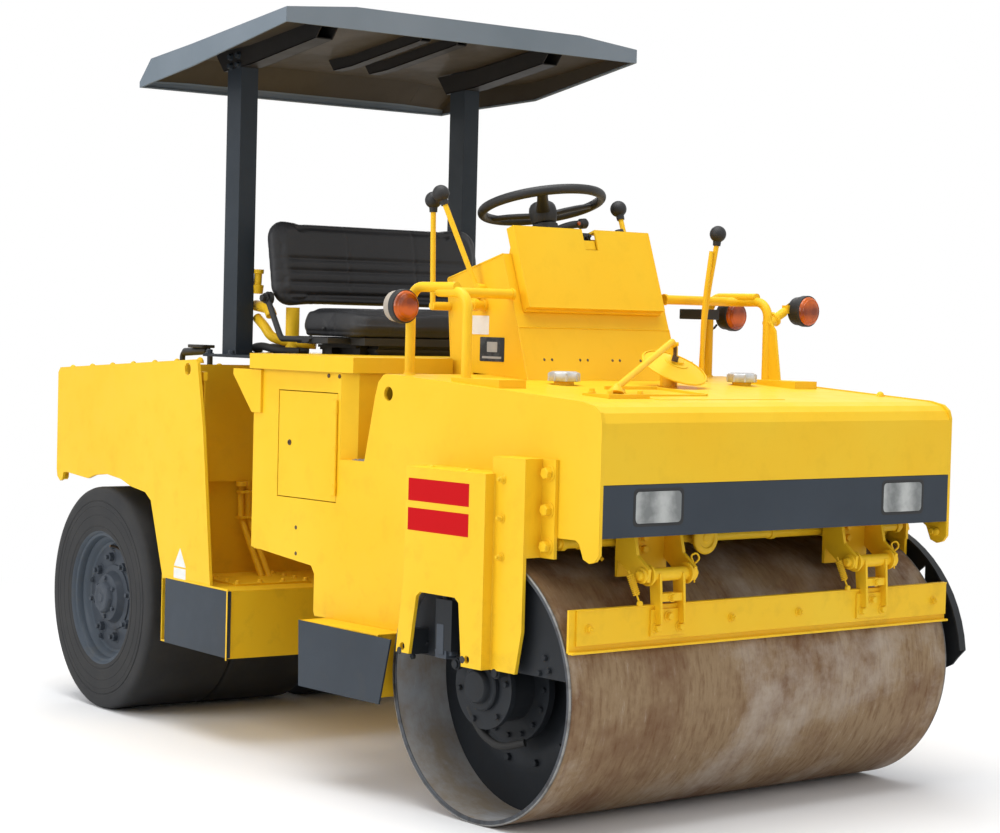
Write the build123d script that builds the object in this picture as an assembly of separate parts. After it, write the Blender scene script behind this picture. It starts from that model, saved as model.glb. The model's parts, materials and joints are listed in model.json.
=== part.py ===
"""Road roller: a drum frame in front, a tyre frame behind, hinged together in the middle.

Millimetres. +X forward to the drum, +Y to the machine's left, +Z up. The pieces are drawn with
both frames in line and the drum's front edge a set reach behind X_FRONT. At the end the rear
frame is swung about the pivot by STEER, as the machine is parked, and everything is moved so
that the origin is the middle of the outer box on the ground. Every node is written to
parts/NAME.step.
"""
import math
import os

from build123d import *

os.makedirs("parts", exist_ok=True)

# ---------------------------------------------------------------- driving sizes
OVERALL_LENGTH = 2760.0
BODY_WIDTH = 1300.0          # over the side plates, both frames
DRUM_DIAMETER = 700.0
DRUM_LENGTH = 1400.0
WHEELBASE = 1985.0
TYRE_DIAMETER = 710.0
CANOPY_HEIGHT = 2131.0       # front edge of the roof
DECK_TOP = 1161.0            # operator platform
DRUM_REACH = 50.0            # from the front of the drum to the front of the outer box
STEER = -5.0                 # how far the rear frame stands turned, in degrees

# ---------------------------------------------------------------- stock
PLATE = 10.0                 # side plates
SHEET = 5.0                  # folded panels
GAP = 2.5                    # door and lid gaps
CLEAR = 6.0                  # least air between moving pieces
RUN = 0.05                   # radial play of a running fit
SEAM = 0.3                   # air beside soft pads
TUBE_R = 13.5                # hand rails
EYE_R = 19.0                 # lifting eyes

# ---------------------------------------------------------------- stations
HALF = BODY_WIDTH / 2
INSIDE = HALF - PLATE
X_FRONT = OVERALL_LENGTH / 2
X_REAR = -X_FRONT
DRUM_R = DRUM_DIAMETER / 2
DRUM_HALF = DRUM_LENGTH / 2
X_DRUM = X_FRONT - DRUM_REACH - DRUM_R
Z_DRUM = DRUM_R
TYRE_R = TYRE_DIAMETER / 2
X_AXLE = X_DRUM - WHEELBASE
Z_AXLE = TYRE_R
X_PIVOT = -100.0


# ---------------------------------------------------------------- helpers
def block(x0, x1, y0, y1, z0, z1):
    """A box between two corners."""
    return Pos((x0 + x1) / 2, (y0 + y1) / 2, (z0 + z1) / 2) * Box(x1 - x0, y1 - y0, z1 - z0)


def mirror_y(shape):
    """The same shape on the other side of the machine."""
    return mirror(shape, about=Plane.XZ)


def both(shape):
    """A shape and its twin on the other side."""
    return [shape, mirror_y(shape)]


def side_slab(points, y0, y1):
    """An outline in X and Z, given thickness from y0 to y1."""
    face = make_face(Polyline(*[(x, 0, z) for x, z in points], close=True))
    return Pos(0, y0, 0) * extrude(face, amount=y1 - y0, dir=(0, 1, 0))


def plan_slab(points, z0, z1):
    """An outline in X and Y, given thickness from z0 to z1."""
    face = make_face(Polyline(*[(x, y, 0) for x, y in points], close=True))
    return Pos(0, 0, z0) * extrude(face, amount=z1 - z0, dir=(0, 0, 1))


def front_slab(points, x0, x1):
    """An outline in Y and Z, given thickness from x0 to x1."""
    face = make_face(Polyline(*[(0, y, z) for y, z in points], close=True))
    return Pos(x0, 0, 0) * extrude(face, amount=x1 - x0, dir=(1, 0, 0))


def rod(start, end, radius):
    """A round bar between two points."""
    a, b = Vector(*start), Vector(*end)
    along = b - a
    return extrude(Plane(origin=a, z_dir=along) * Circle(radius), amount=along.length)


def pipe(points, radius, bend):
    """A round tube centre line with bent corners, as a solid bar."""
    path = FilletPolyline(*points, radius=bend)
    start = Plane(origin=path @ 0, z_dir=path % 0)
    return sweep(start * Circle(radius), path=path)


def ring_y(x, z, outer, inner, y0, y1):
    """A ring or disc whose axis runs across the machine."""
    shape = rod((x, y0, z), (x, y1, z), outer)
    return shape - rod((x, y0 - 1, z), (x, y1 + 1, z), inner) if inner else shape


def join(shapes):
    """One fused shape from a list."""
    total = shapes[0]
    for shape in shapes[1:]:
        total = total + shape
    return total


def drill_y(shape, x, z, radius, y0, y1):
    """A hole across the machine."""
    return shape - rod((x, y0 - 1, z), (x, y1 + 1, z), radius)


NODES = {}                   # each node's solids, under its name


def node(name, *shapes):
    """Keep a node's solids under its name."""
    flat = []
    for shape in shapes:
        flat.extend(shape if isinstance(shape, list) else [shape])
    NODES[name] = [solid for shape in flat for solid in shape.solids()]


# ---------------------------------------------------------------- front frame: side plates
X_FASCIA = X_FRONT - 17
Z_BAND = (752.0, 880.0)
Z_NOSE = 1045.0
HOOD_REAR_X, HOOD_REAR_Z = 550.0, 1121.0
HOOD_BREAK_X, HOOD_BREAK_Z = 1290.0, 1080.0
HOOD_SKIN = 3.0              # hood sheet lies this far under the plate edges
HOOD_FALL = (HOOD_REAR_Z - HOOD_BREAK_Z) / (HOOD_BREAK_X - HOOD_REAR_X)
Z_NOTCH = 881.0              # toe step between seat box and hood
BOX_REAR = -112.0
BOX_FRONT = 308.0
BOX_CORNER = 35.0
RIM_LOW = DECK_TOP - 43
DRUM_AIR = DRUM_R + 22
LOW_FRONT = 612.0
LOW_EDGE = 440.0
DOOR = (12.0, 294.0, 760.0, 1062.0)     # x from, x to, z from, z to
EYE_FRONT = (520.0, 1069.0)


def hood_line(x):
    """Height of the front hood over a station."""
    return HOOD_REAR_Z - (x - HOOD_REAR_X) * HOOD_FALL


FRONT_PLATE = [
    (BOX_REAR, 606), (BOX_REAR, RIM_LOW), (BOX_FRONT, RIM_LOW), (BOX_FRONT, Z_NOTCH),
    (419, Z_NOTCH), (462, 1062), (474, 1098), (496, 1119), (HOOD_REAR_X, HOOD_REAR_Z),
    (HOOD_BREAK_X, HOOD_BREAK_Z), (1336, 1071), (1356, 1056), (X_FASCIA, 1034),
    (X_FASCIA, 712), (1350, 696), (1330, 690), (1308, 698), (1292, 734), (1280, 742),
    (1168, 742), (1152, 732), (1142, 700), (1125, 684), (1080, 684), (X_DRUM, Z_DRUM + DRUM_AIR),
    (X_DRUM - 20, LOW_EDGE), (206, LOW_EDGE), (200, 452), (200, 556), (184, 578),
]


def front_side_plates():
    """Both outer plates of the drum frame, with door openings and lifting eyes."""
    plate = side_slab(FRONT_PLATE, INSIDE, HALF)
    plate = plate - ring_y(X_DRUM, Z_DRUM, DRUM_AIR, 0, INSIDE - 1, HALF + 1)
    x0, x1, z0, z1 = DOOR
    plate = plate - block(x0, x1, INSIDE - 1, HALF + 1, z0, z1)
    plate = drill_y(plate, *EYE_FRONT, EYE_R, INSIDE, HALF)
    node("front_side_plates", both(plate))


# ---------------------------------------------------------------- front frame: hood and fascia
HOOD_BACK = 490.0


def hood_shell():
    """Hood top, nose and rear wall as one folded sheet."""
    top, t = HOOD_SKIN, SHEET
    outer = [(HOOD_BACK, Z_NOTCH), (HOOD_BACK, hood_line(HOOD_BACK) - top),
             (HOOD_BREAK_X, HOOD_BREAK_Z - top), (1330, 1068), (1350, 1054), (X_FASCIA, 1030),
             (X_FASCIA, Z_BAND[1] + 1)]
    inner = [(X_FASCIA - t, Z_BAND[1] + 1), (X_FASCIA - t, 1028), (1346, 1050), (1328, 1063),
             (HOOD_BREAK_X, HOOD_BREAK_Z - top - t), (HOOD_BACK + t, hood_line(HOOD_BACK) - top - t),
             (HOOD_BACK + t, Z_NOTCH)]
    node("hood_shell", side_slab(outer + inner, -INSIDE, INSIDE))


def above_hood(shape):
    """Trim a fitting to the hood so that it stands on the sheet."""
    under = [(HOOD_BACK - 60, 900), (HOOD_BACK - 60, hood_line(HOOD_BACK - 60) - HOOD_SKIN),
             (HOOD_BREAK_X, HOOD_BREAK_Z - HOOD_SKIN), (HOOD_BREAK_X, 900)]
    return shape - side_slab(under, -DRUM_HALF, DRUM_HALF)


LAMP_Y = 454.0
LAMP_Z = 824.0
LAMP_W = 150.0
LAMP_H = 90.0
BAND_T = 12.0


def fascia_band():
    """Dark lower nose panel with two lamp recesses, and the lamp pods behind it."""
    z0, z1 = Z_BAND
    band = block(X_FASCIA - BAND_T, X_FASCIA, -INSIDE, INSIDE, z0, z1)
    tray = block(X_FASCIA - 52, X_FASCIA - BAND_T, -INSIDE, INSIDE, z0, z0 + SHEET)
    lamps = []
    for side in (-1, 1):
        y = side * LAMP_Y
        hole = (y - LAMP_W / 2, y + LAMP_W / 2, LAMP_Z - LAMP_H / 2, LAMP_Z + LAMP_H / 2)
        band = band - block(X_FASCIA - BAND_T - 1, X_FASCIA + 1, *hole)
        pod = block(X_FASCIA - 62, X_FASCIA - BAND_T, hole[0] - 5, hole[1] + 5, hole[2] - 5, hole[3] + 5)
        lens = block(X_FASCIA - BAND_T, X_FASCIA - 5, hole[0] + 10, hole[1] - 10, hole[2] + 8, hole[3] - 8)
        lamps.append(pod + lens)
    node("fascia_band", band + tray)
    node("headlights", lamps)


# ---------------------------------------------------------------- front frame: seat box and deck
GUSSET = [(-209, 1115), (-68, 1115), (-68, 992), (-112, 992), (-209, 1098)]


def seat_box():
    """Walls and floors of the box under the seat, open behind its two doors."""
    t = SHEET
    chamfer = BOX_FRONT + BOX_CORNER
    inner = HALF - BOX_CORNER
    low = 600.0
    walls = [
        block(BOX_REAR, BOX_REAR + t, -INSIDE, INSIDE, low, RIM_LOW),
        block(chamfer - t, chamfer, -inner, inner, Z_NOTCH - t, RIM_LOW),
        block(BOX_REAR, chamfer, -INSIDE, INSIDE, low, low + t),
        block(BOX_FRONT - 40, HOOD_BACK + t, -INSIDE, INSIDE, Z_NOTCH - t, Z_NOTCH),
        block(BOX_REAR, chamfer, -t / 2, t / 2, low, RIM_LOW),
    ]
    for side in (-1, 1):
        corner = [(BOX_FRONT, side * HALF), (chamfer, side * inner), (chamfer - t, side * inner),
                  (BOX_FRONT, side * INSIDE)]
        walls.append(plan_slab(corner, Z_NOTCH, RIM_LOW))
    gussets = both(side_slab(GUSSET, HALF, HALF + 8))
    node("seat_box", join(walls), gussets)


DECK_HALF = 668.0
DECK_FOLD = 253.0            # where the rim starts to turn in
DECK_TURN = 22.0
DECK_LIP = 12.0              # past the wall of the seat box
DECK_NOSE = BOX_FRONT + BOX_CORNER + DECK_LIP
CONSOLE_HALF = 286.0
CONSOLE_NOTCH = 298.0
SHELF_NOSE = -40.0
SHELF_LOW = 1141.0           # passes over the rear frame as it swings
SHELF_REAR = -600.0
SHELF_HALF = 380.0


def deck():
    """Operator platform: a plate with a turned-down rim, notched for the console."""
    t = SHEET
    turn = DECK_HALF - DECK_TURN
    outline = [(BOX_REAR, -DECK_HALF), (DECK_FOLD, -DECK_HALF), (DECK_NOSE, -turn),
               (DECK_NOSE, -CONSOLE_NOTCH), (CONSOLE_NOTCH, -CONSOLE_NOTCH),
               (CONSOLE_NOTCH, CONSOLE_NOTCH), (DECK_NOSE, CONSOLE_NOTCH), (DECK_NOSE, turn),
               (DECK_FOLD, DECK_HALF), (BOX_REAR, DECK_HALF)]
    slab = plan_slab(outline, RIM_LOW, DECK_TOP)
    inside = [(BOX_REAR - 1, -DECK_HALF + t), (DECK_FOLD, -DECK_HALF + t), (DECK_NOSE - t, -turn + t),
              (DECK_NOSE - t, -CONSOLE_NOTCH - t), (CONSOLE_NOTCH - t, -CONSOLE_NOTCH - t),
              (CONSOLE_NOTCH - t, CONSOLE_NOTCH + t), (DECK_NOSE - t, CONSOLE_NOTCH + t),
              (DECK_NOSE - t, turn - t), (DECK_FOLD, DECK_HALF - t), (BOX_REAR - 1, DECK_HALF - t)]
    slab = slab - plan_slab(inside, RIM_LOW - 1, DECK_TOP - t)
    shelf = block(SHELF_REAR, SHELF_NOSE, -SHELF_HALF, SHELF_HALF, SHELF_LOW, DECK_TOP - t)
    node("deck", slab + shelf)


HINGE_AIR = 0.3
DOOR_HINGE_R = 4.0
DOOR_AXIS = (DOOR[1] - 1.0, HALF + DOOR_HINGE_R + HINGE_AIR)


def box_doors():
    """The two doors of the seat box, each with its long hinge barrel."""
    x0, x1, z0, z1 = DOOR
    door = block(x0 + GAP, x1 - GAP, HALF - 6, HALF - 1, z0 + GAP, z1 - GAP)
    barrel = rod((*DOOR_AXIS, z0 + 20), (*DOOR_AXIS, z1 - 20), DOOR_HINGE_R)
    leaf = block(x1 - GAP - 22, x1 - 1, HALF - 1, HALF + 2.5, z0 + 20, z1 - 20)
    door = door + barrel + leaf
    node("box_door_left", door)
    node("box_door_right", mirror_y(door))


# ---------------------------------------------------------------- front frame: chassis and yoke
HUB_R = 62.0
HUB_LOW, HUB_HIGH = 262.0, 462.0
PIN_R = 30.0
LUG = 28.0
SPINE_X = (70.0, 570.0)
SPINE_Y = 100.0


def chassis():
    """Beams from the hood to the pivot, the two yoke plates, and the nose beam."""
    x0, x1 = SPINE_X
    wide = 200.0
    spine = [block(x0, x1, side * SPINE_Y - 10, side * SPINE_Y + 10, HUB_LOW - CLEAR - LUG, 600)
             for side in (-1, 1)]
    top = block(BOX_REAR + SHEET, x1, -wide, wide, 580, 600)
    plates = []
    for z0 in (HUB_LOW - CLEAR - LUG, HUB_HIGH + CLEAR):
        lug = plan_slab([(X_PIVOT, -70), (x0 + 20, -wide), (x1, -wide), (x1, wide), (x0 + 20, wide),
                         (X_PIVOT, 70)], z0, z0 + LUG)
        lug = lug + rod((X_PIVOT, 0, z0), (X_PIVOT, 0, z0 + LUG), 70)
        plates.append(lug - rod((X_PIVOT, 0, z0 - 1), (X_PIVOT, 0, z0 + LUG + 1), PIN_R))
    bulkhead = block(x1, x1 + 12, -INSIDE, INSIDE, LOW_EDGE + 6, Z_NOTCH - SHEET)
    keel = block(x1, x1 + 12, -wide, wide, HUB_LOW - CLEAR - LUG, LOW_EDGE + 6)
    nose = block(X_FASCIA - 108, X_FASCIA - 78, -INSIDE, INSIDE, 760, 810)
    node("chassis", join([top, bulkhead, keel] + spine + plates), nose)


def pivot_pin():
    """Vertical pin of the articulation."""
    z0, z1 = HUB_LOW - CLEAR - LUG - 12, HUB_HIGH + CLEAR + LUG
    pin = rod((X_PIVOT, 0, z0), (X_PIVOT, 0, z1 + 12), PIN_R)
    cap = rod((X_PIVOT, 0, z1), (X_PIVOT, 0, z1 + 12), PIN_R + 14)
    foot = rod((X_PIVOT, 0, z0), (X_PIVOT, 0, z0 + 12), PIN_R + 14)
    node("pivot_pin", join([pin, cap, foot]))


# ---------------------------------------------------------------- drum, its hubs and legs
HEAD_Y = 520.0
STUB_R = 60.0
SHELL = 18.0


def drum():
    """Smooth drum: shell, two heads and their bearing rings."""
    shell = ring_y(X_DRUM, Z_DRUM, DRUM_R, DRUM_R - SHELL, -DRUM_HALF, DRUM_HALF)
    head = ring_y(X_DRUM, Z_DRUM, DRUM_R - SHELL + 1, STUB_R + RUN, HEAD_Y, HEAD_Y + 15)
    boss = ring_y(X_DRUM, Z_DRUM, STUB_R + 35, STUB_R + RUN, HEAD_Y - 30, HEAD_Y + 40)
    node("drum", join([shell] + both(head) + both(boss)))


LEG_OUT = DRUM_HALF + 45
LEG_IN = DRUM_HALF + 5


def drum_hubs():
    """Stub axles, flanges, motors and the dark plates that carry them."""
    stub = rod((X_DRUM, HEAD_Y - 20, Z_DRUM), (X_DRUM, HEAD_Y + 50, Z_DRUM), STUB_R)
    flange = rod((X_DRUM, HEAD_Y + 50, Z_DRUM), (X_DRUM, HEAD_Y + 70, Z_DRUM), 150)
    motor = rod((X_DRUM, HEAD_Y + 70, Z_DRUM), (X_DRUM, HEAD_Y + 145, Z_DRUM), 95)
    y0 = HEAD_Y + 145
    plate = block(X_DRUM - 300, X_DRUM + 310, y0, y0 + 15, 400, 640)
    plate = plate + rod((X_DRUM, y0, Z_DRUM), (X_DRUM, y0 + 15, Z_DRUM), 110)
    plate = plate & rod((X_DRUM, y0 - 1, Z_DRUM), (X_DRUM, y0 + 16, Z_DRUM), DRUM_R - SHELL - 12)
    pads = [block(X_DRUM + x0, X_DRUM + x1, y0 + 15, LEG_OUT - PLATE, 405, 470)
            for x0, x1 in ((-262, -226), (-12, 40))]
    valve = block(X_DRUM - 140, X_DRUM - 75, y0 + 15, y0 + 62, 430, 560)
    node("drum_hubs", both(join([stub, flange, motor, plate, valve] + pads)))


def drum_legs():
    """Bolt-on legs outside the drum: box ledge, outer plate, channel, flange and angle."""
    out0, out1 = LEG_OUT - PLATE, LEG_OUT
    outline = [(X_DRUM - 253, 891), (X_DRUM + 67, 891), (X_DRUM + 67, 402), (X_DRUM - 12, 402),
               (X_DRUM - 28, 560), (X_DRUM - 44, 572), (X_DRUM - 186, 572), (X_DRUM - 200, 560),
               (X_DRUM - 226, 408), (X_DRUM - 280, 408), (X_DRUM - 253, 620)]
    outer = side_slab(outline, out0, out1)
    for x, z in ((-253, 425), (10, 422)):
        outer = drill_y(outer, X_DRUM + x, z, 10, out0, out1)
    ledge = block(X_DRUM - 253, X_DRUM + 67, HALF, out1, 881, 891)
    web = block(X_DRUM + 57, X_DRUM + 67, LEG_IN, out1, 402, 891)
    flange = side_slab([(X_DRUM + 57, 934), (X_DRUM + 182, 934), (X_DRUM + 182, 510), (X_DRUM + 160, 402),
                        (X_DRUM + 57, 402)], LEG_IN, LEG_IN + PLATE)
    angle = block(X_DRUM + 172, X_DRUM + 182, HALF, LEG_IN + PLATE, 690, 934)
    foot = block(X_DRUM + 172, X_DRUM + 232, HALF, HALF + PLATE, 690, 934)
    back = block(X_DRUM - 253, X_DRUM - 243, HALF, out1, 612, 891)
    cap = block(X_DRUM + 57, X_DRUM + 182, HALF, LEG_IN + PLATE, 924, 934)
    node("drum_legs", both(join([outer, ledge, web, flange, angle, foot, back, cap])))


GUARD_R = 382.0
GUARD_Y = (LEG_OUT - 6, LEG_OUT)


def drum_guard():
    """Black guard plate beyond the drum's left end, with a lip along its curved edge."""
    y0, y1 = GUARD_Y

    def at(angle, radius=GUARD_R):
        a = math.radians(angle)
        return (X_DRUM + radius * math.cos(a), Z_DRUM + radius * math.sin(a))
    curve = [at(angle) for angle in range(78, 0, -6)]
    plate = side_slab(curve + [(1336, 366), (1318, 345), (1262, 318), (1180, 330), (1120, 470),
                               (X_DRUM + 67, 560)], y0, y1)
    plate = plate - side_slab([(1211, 612), (1211, 470), (1140, 556)], y0 - 1, y1 + 1)
    lip = curve + [at(angle, GUARD_R - 5) for angle in range(6, 84, 6)]
    plate = plate + side_slab(lip, y0 - 20, y1)
    leg = block(X_DRUM - 260, X_DRUM + 67, INSIDE, LEG_OUT + 1, 300, 900)
    flange = block(X_DRUM, X_DRUM + 240, HALF, LEG_IN + PLATE, 300, 934)
    node("drum_guard", plate - leg - flange)


# ---------------------------------------------------------------- front steps
STEP_Y = 742.0


def front_steps():
    """Yellow step trays and their dark outer panels."""
    x0, x1, z0, z1 = 259.0, 672.0, 260.0, 440.0
    t = SHEET
    edge = STEP_Y - t
    inner = INSIDE - 60
    tray = block(x0, x1 - 60, inner, edge, z1 - 4, z1)
    tray = tray + block(x0, x0 + t, inner, edge, z0 + 5, z1)
    web = [(x1 - 100, z0 + 6), (x1 - 95, z0 + 6), (x1 - 60, z1), (x1 - 65, z1)]
    tray = tray + side_slab(web, inner, edge)
    tray = tray + block(x0, x1 - 70, inner, inner + t, z0 + 5, z1)
    panel = side_slab([(x0, z1), (x1, z1 - 6), (x1 - 44, z0 - 1), (x0 + 6, z0)], edge, STEP_Y)
    node("front_step_trays", both(tray))
    node("front_step_panels", both(panel))


# ---------------------------------------------------------------- console, lid, wheel, levers
CONSOLE = [(345, 1000), (308, 1388), (547, 1456), (618, 1255), (681, 1060), (681, 1000)]
CONSOLE_IN = [(351, 1000), (315, 1384), (544, 1449), (612, 1254), (675, 1060), (675, 1000)]
FACE_TOP, FACE_LOW = (547.0, 1456.0), (618.0, 1255.0)
DASH = [(452, 1425), (468, 1496), (521, 1508), (556, 1410)]
DASH_HALF = 190.0


def console():
    """Dash console: a hollow wedge on the hood and the deck notch, with the dash box on top."""
    body = side_slab(CONSOLE, -CONSOLE_HALF, CONSOLE_HALF)
    body = body - side_slab(CONSOLE_IN, -CONSOLE_HALF + SHEET, CONSOLE_HALF - SHEET)
    dash = side_slab(DASH, -DASH_HALF, DASH_HALF) - side_slab(CONSOLE_IN, -CONSOLE_HALF, CONSOLE_HALF)
    body = above_hood(body + dash)
    body = body - block(300, HOOD_BACK, -CONSOLE_HALF - 1, CONSOLE_HALF + 1, 990, RIM_LOW)
    node("console", body)


def off_console(shape):
    """Trim a fitting to the console's outside."""
    return shape - side_slab(CONSOLE, -CONSOLE_HALF, CONSOLE_HALF)


def face_point(along, out):
    """A point on the console's front face: along it upwards, and out from it."""
    run, rise = FACE_TOP[0] - FACE_LOW[0], FACE_TOP[1] - FACE_LOW[1]
    size = math.hypot(run, rise)
    return (FACE_LOW[0] + run / size * along + rise / size * out,
            FACE_LOW[1] + rise / size * along - run / size * out)


LID_HALF = 256.0
LID_FROM, LID_TO = 48.0, 286.0   # along the face, from its lower edge
LID_DEEP = 30.0
LID_SKIN = 6.0
LID_HINGE_R = 6.0
LID_AXIS = face_point(LID_FROM, LID_HINGE_R + HINGE_AIR)
LOCK_SLOT = (-2.0, 46.0, 62.0)   # Y from, Y to, depth


def dash_lid():
    """Box-shaped lid over the dash, hinged at its lower edge, with a lock slot."""
    def outline(start, end, near, far):
        corners = ((start, near), (end, near), (end, far), (start, far))
        return [face_point(*corner) for corner in corners]
    back = 2 * HINGE_AIR
    slab = side_slab(outline(LID_FROM, LID_TO, back, LID_DEEP), -LID_HALF, LID_HALF)
    hollow = outline(LID_FROM + LID_SKIN, LID_TO - LID_SKIN, back - 1, LID_DEEP - LID_SKIN)
    slab = slab - side_slab(hollow, -LID_HALF + LID_SKIN, LID_HALF - LID_SKIN)
    barrel = rod((LID_AXIS[0], -LID_HALF, LID_AXIS[1]), (LID_AXIS[0], LID_HALF, LID_AXIS[1]), LID_HINGE_R)
    y0, y1, depth = LOCK_SLOT
    slot = outline(LID_TO - depth, LID_TO + 10, -10, LID_DEEP + 10)
    node("dash_lid", slab - side_slab(slot, y0, y1) + barrel)


WHEEL_C = (375.0, 0.0, 1606.0)
WHEEL_R = 187.0
RIM_TUBE = 14.0
HUB_WHEEL_R = 40.0
COLUMN_TILT = 14.0
COLUMN_R = 26.0
COLUMN_LONG = 235.0          # down from the wheel's middle, into the console
SPOKES = (15.0, 135.0, 255.0)


def column_point(distance):
    """A point on the steering column, measured down from the wheel's middle."""
    a = math.radians(COLUMN_TILT)
    return (WHEEL_C[0] + distance * math.sin(a), 0.0, WHEEL_C[2] - distance * math.cos(a))


def steering():
    """Column on the console and the wheel on its shaft."""
    tube = rod(column_point(62), column_point(COLUMN_LONG), COLUMN_R)
    bore = rod(column_point(61), column_point(141), 10 + RUN)
    node("steering_column", off_console(tube) - bore)
    plane = Plane(origin=WHEEL_C, z_dir=Vector(*column_point(-1)) - Vector(*WHEEL_C))
    reach = WHEEL_R - RIM_TUBE
    rim = plane * Torus(reach, RIM_TUBE)
    hub = rod(column_point(-4), column_point(54), HUB_WHEEL_R)
    shaft = rod(column_point(40), column_point(132), 10)
    spokes = []
    for angle in SPOKES:
        a = math.radians(angle)
        end = plane.from_local_coords(Vector(reach * math.cos(a), reach * math.sin(a), 0))
        spokes.append(rod(column_point(22), tuple(end), 9))
    node("steering_wheel", join([hub, shaft, rim] + spokes))


LEVERS = [  # ball x, y, z, foot x, y, z
    (370, -368, 1620, 466, -304, 1348),
    (316, -351, 1604, 318, -346, 1300),
    (444, 236, 1605, 505, 236, 1440),
    (691, 400, 1536, 657, 380, 1106),
]
LEVER_R = 8.0
KNOB_R = 24.0
KNOB_TIP = 2.0               # small flat where the ball is turned off


def lever(foot, ball):
    """A straight lever with a ball knob, turned as one piece."""
    a, b = Vector(*foot), Vector(*ball)
    length = (b - a).length
    neck = length - math.sqrt(KNOB_R ** 2 - LEVER_R ** 2)
    tip = math.sqrt(KNOB_R ** 2 - KNOB_TIP ** 2)
    edges = [Line((0, 0, 0), (LEVER_R, 0, 0)), Line((LEVER_R, 0, 0), (LEVER_R, 0, neck)),
             ThreePointArc((LEVER_R, 0, neck), (KNOB_R, 0, length), (KNOB_TIP, 0, length + tip)),
             Line((KNOB_TIP, 0, length + tip), (0, 0, length + tip)),
             Line((0, 0, length + tip), (0, 0, 0))]
    turned = revolve(make_face(Wire(edges)), Axis.Z)
    return Plane(origin=a, z_dir=b - a).location * turned


def levers():
    """Hand levers with ball knobs, fixed at rest."""
    shapes = []
    for bx, by, bz, fx, fy, fz in LEVERS:
        shapes.append(lever((fx, fy, fz), (bx, by, bz)))
    for index, radius in ((0, 16), (1, 12)):
        x, y, z = LEVERS[index][3:]
        shapes[index] = shapes[index] + rod((x, -CONSOLE_HALF, z + 8), (x, y - 8, z + 8), radius)
    node("levers", [above_hood(off_console(shape)) for shape in shapes])


# ---------------------------------------------------------------- hand rails and lamps
RAIL_Y = 565.0
RAIL_TOP = 1356.0
RAIL_X = (500.0, 740.0)
RAIL_BEND = 45.0
TIE_X = 592.0
TIE_DROP = 12.0              # the front tube passes this far under the rear one
LAMP_R = 46.0
LAMP_HALF = 34.0
SIDE_LAMPS = (RAIL_X[0] + 32, RAIL_Y + TUBE_R + LAMP_R, 1303.0)
ARM_LAMP = (775.0, RAIL_Y + 112, 1321.0)
ARM_R = 13.0
RAIL_FOOT = (716.0, 912.0, 14.0)      # x from, x to, height above the hood


def rails():
    """Two hand rails: a rear leg, and a front leg that bends over to the console; turn lamps."""
    x0, x1 = RAIL_X
    low, top = 1080, RAIL_TOP - TIE_DROP
    front = pipe([(x1, RAIL_Y, low), (x1, RAIL_Y, top), (TIE_X, RAIL_Y, top), (TIE_X, CONSOLE_HALF, top)],
                 TUBE_R, RAIL_BEND)
    rear = pipe([(x0, RAIL_Y, low), (x0, RAIL_Y, RAIL_TOP), (x1 - RAIL_BEND, RAIL_Y, RAIL_TOP)],
                TUBE_R, RAIL_BEND)
    foot = block(RAIL_FOOT[0], RAIL_FOOT[1], RAIL_Y - 60, RAIL_Y + 30, low, hood_line(833) + RAIL_FOOT[2])
    rail = above_hood(off_console(join([front, rear, foot])))
    ax, ay, az = ARM_LAMP
    arm = rod((x1, RAIL_Y, az - 40), (ax - LAMP_HALF + 4, ay - 16, az + 14), ARM_R)
    arm = arm - rod((ax - LAMP_HALF, ay, az), (ax + LAMP_HALF, ay, az), LAMP_R)
    node("hand_rails", rail + arm, mirror_y(rail))
    sx, sy, sz = SIDE_LAMPS
    lamps = [rod((sx - LAMP_HALF, side * sy, sz), (sx + LAMP_HALF, side * sy, sz), LAMP_R)
             for side in (-1, 1)]
    lamps.append(rod((ax - LAMP_HALF, ay, az), (ax + LAMP_HALF, ay, az), LAMP_R))
    node("turn_lamps", lamps)


# ---------------------------------------------------------------- hood fittings
CAPS = [(800, -275), (800, 403)]
CAP_R = 42.0
CAP_STEP = 10.0              # neck that shows under the cap
CAP_HIGH = 34.0
STAY_FOOT = (1140.0, -400.0)
STAY_R = 9.0
TANK_CAP = (855.0, 80.0)
COVER_UP = 60.0              # middle of the cover above the hood
COVER_TILT = 28.0
COVER_R = 94.0


def hood_fittings():
    """Filler caps, and the round tilted cover with its bent stay."""
    caps = []
    for x, y in CAPS:
        z = hood_line(x) - HOOD_SKIN
        neck = rod((x, y, z - 20), (x, y, z + CAP_STEP), CAP_R * 0.65)
        head = extrude(Plane(origin=(x, y, z + CAP_STEP)) * RegularPolygon(CAP_R, 8), amount=CAP_HIGH)
        caps.append(above_hood(neck + head))
    node("filler_caps", caps)
    x, y = TANK_CAP
    z = hood_line(x) - HOOD_SKIN
    fx, fy = STAY_FOOT
    fz = hood_line(fx) - HOOD_SKIN
    stay = pipe([(fx, fy, fz), (fx - 12, fy + 14, fz + 24), (x + 40, y - 50, z + 124), (x, y, z + 110),
                 (x, y, z + COVER_UP)], STAY_R, 12)
    foot = block(fx - 50, fx + 50, fy - 70, fy + 70, fz - 20, fz + 8)
    neck = rod((x - 20, y, z - 20), (x - 20, y, z + COVER_UP), 24)
    a = math.radians(COVER_TILT)
    seat = Plane(origin=(x, y, z + COVER_UP - 8), z_dir=(math.sin(a), 0, math.cos(a)))
    cover = seat * Cone(COVER_R, 16, 22, align=(Align.CENTER, Align.CENTER, Align.MIN))
    node("tank_cap", above_hood(join([stay, foot, neck, cover])))


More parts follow.
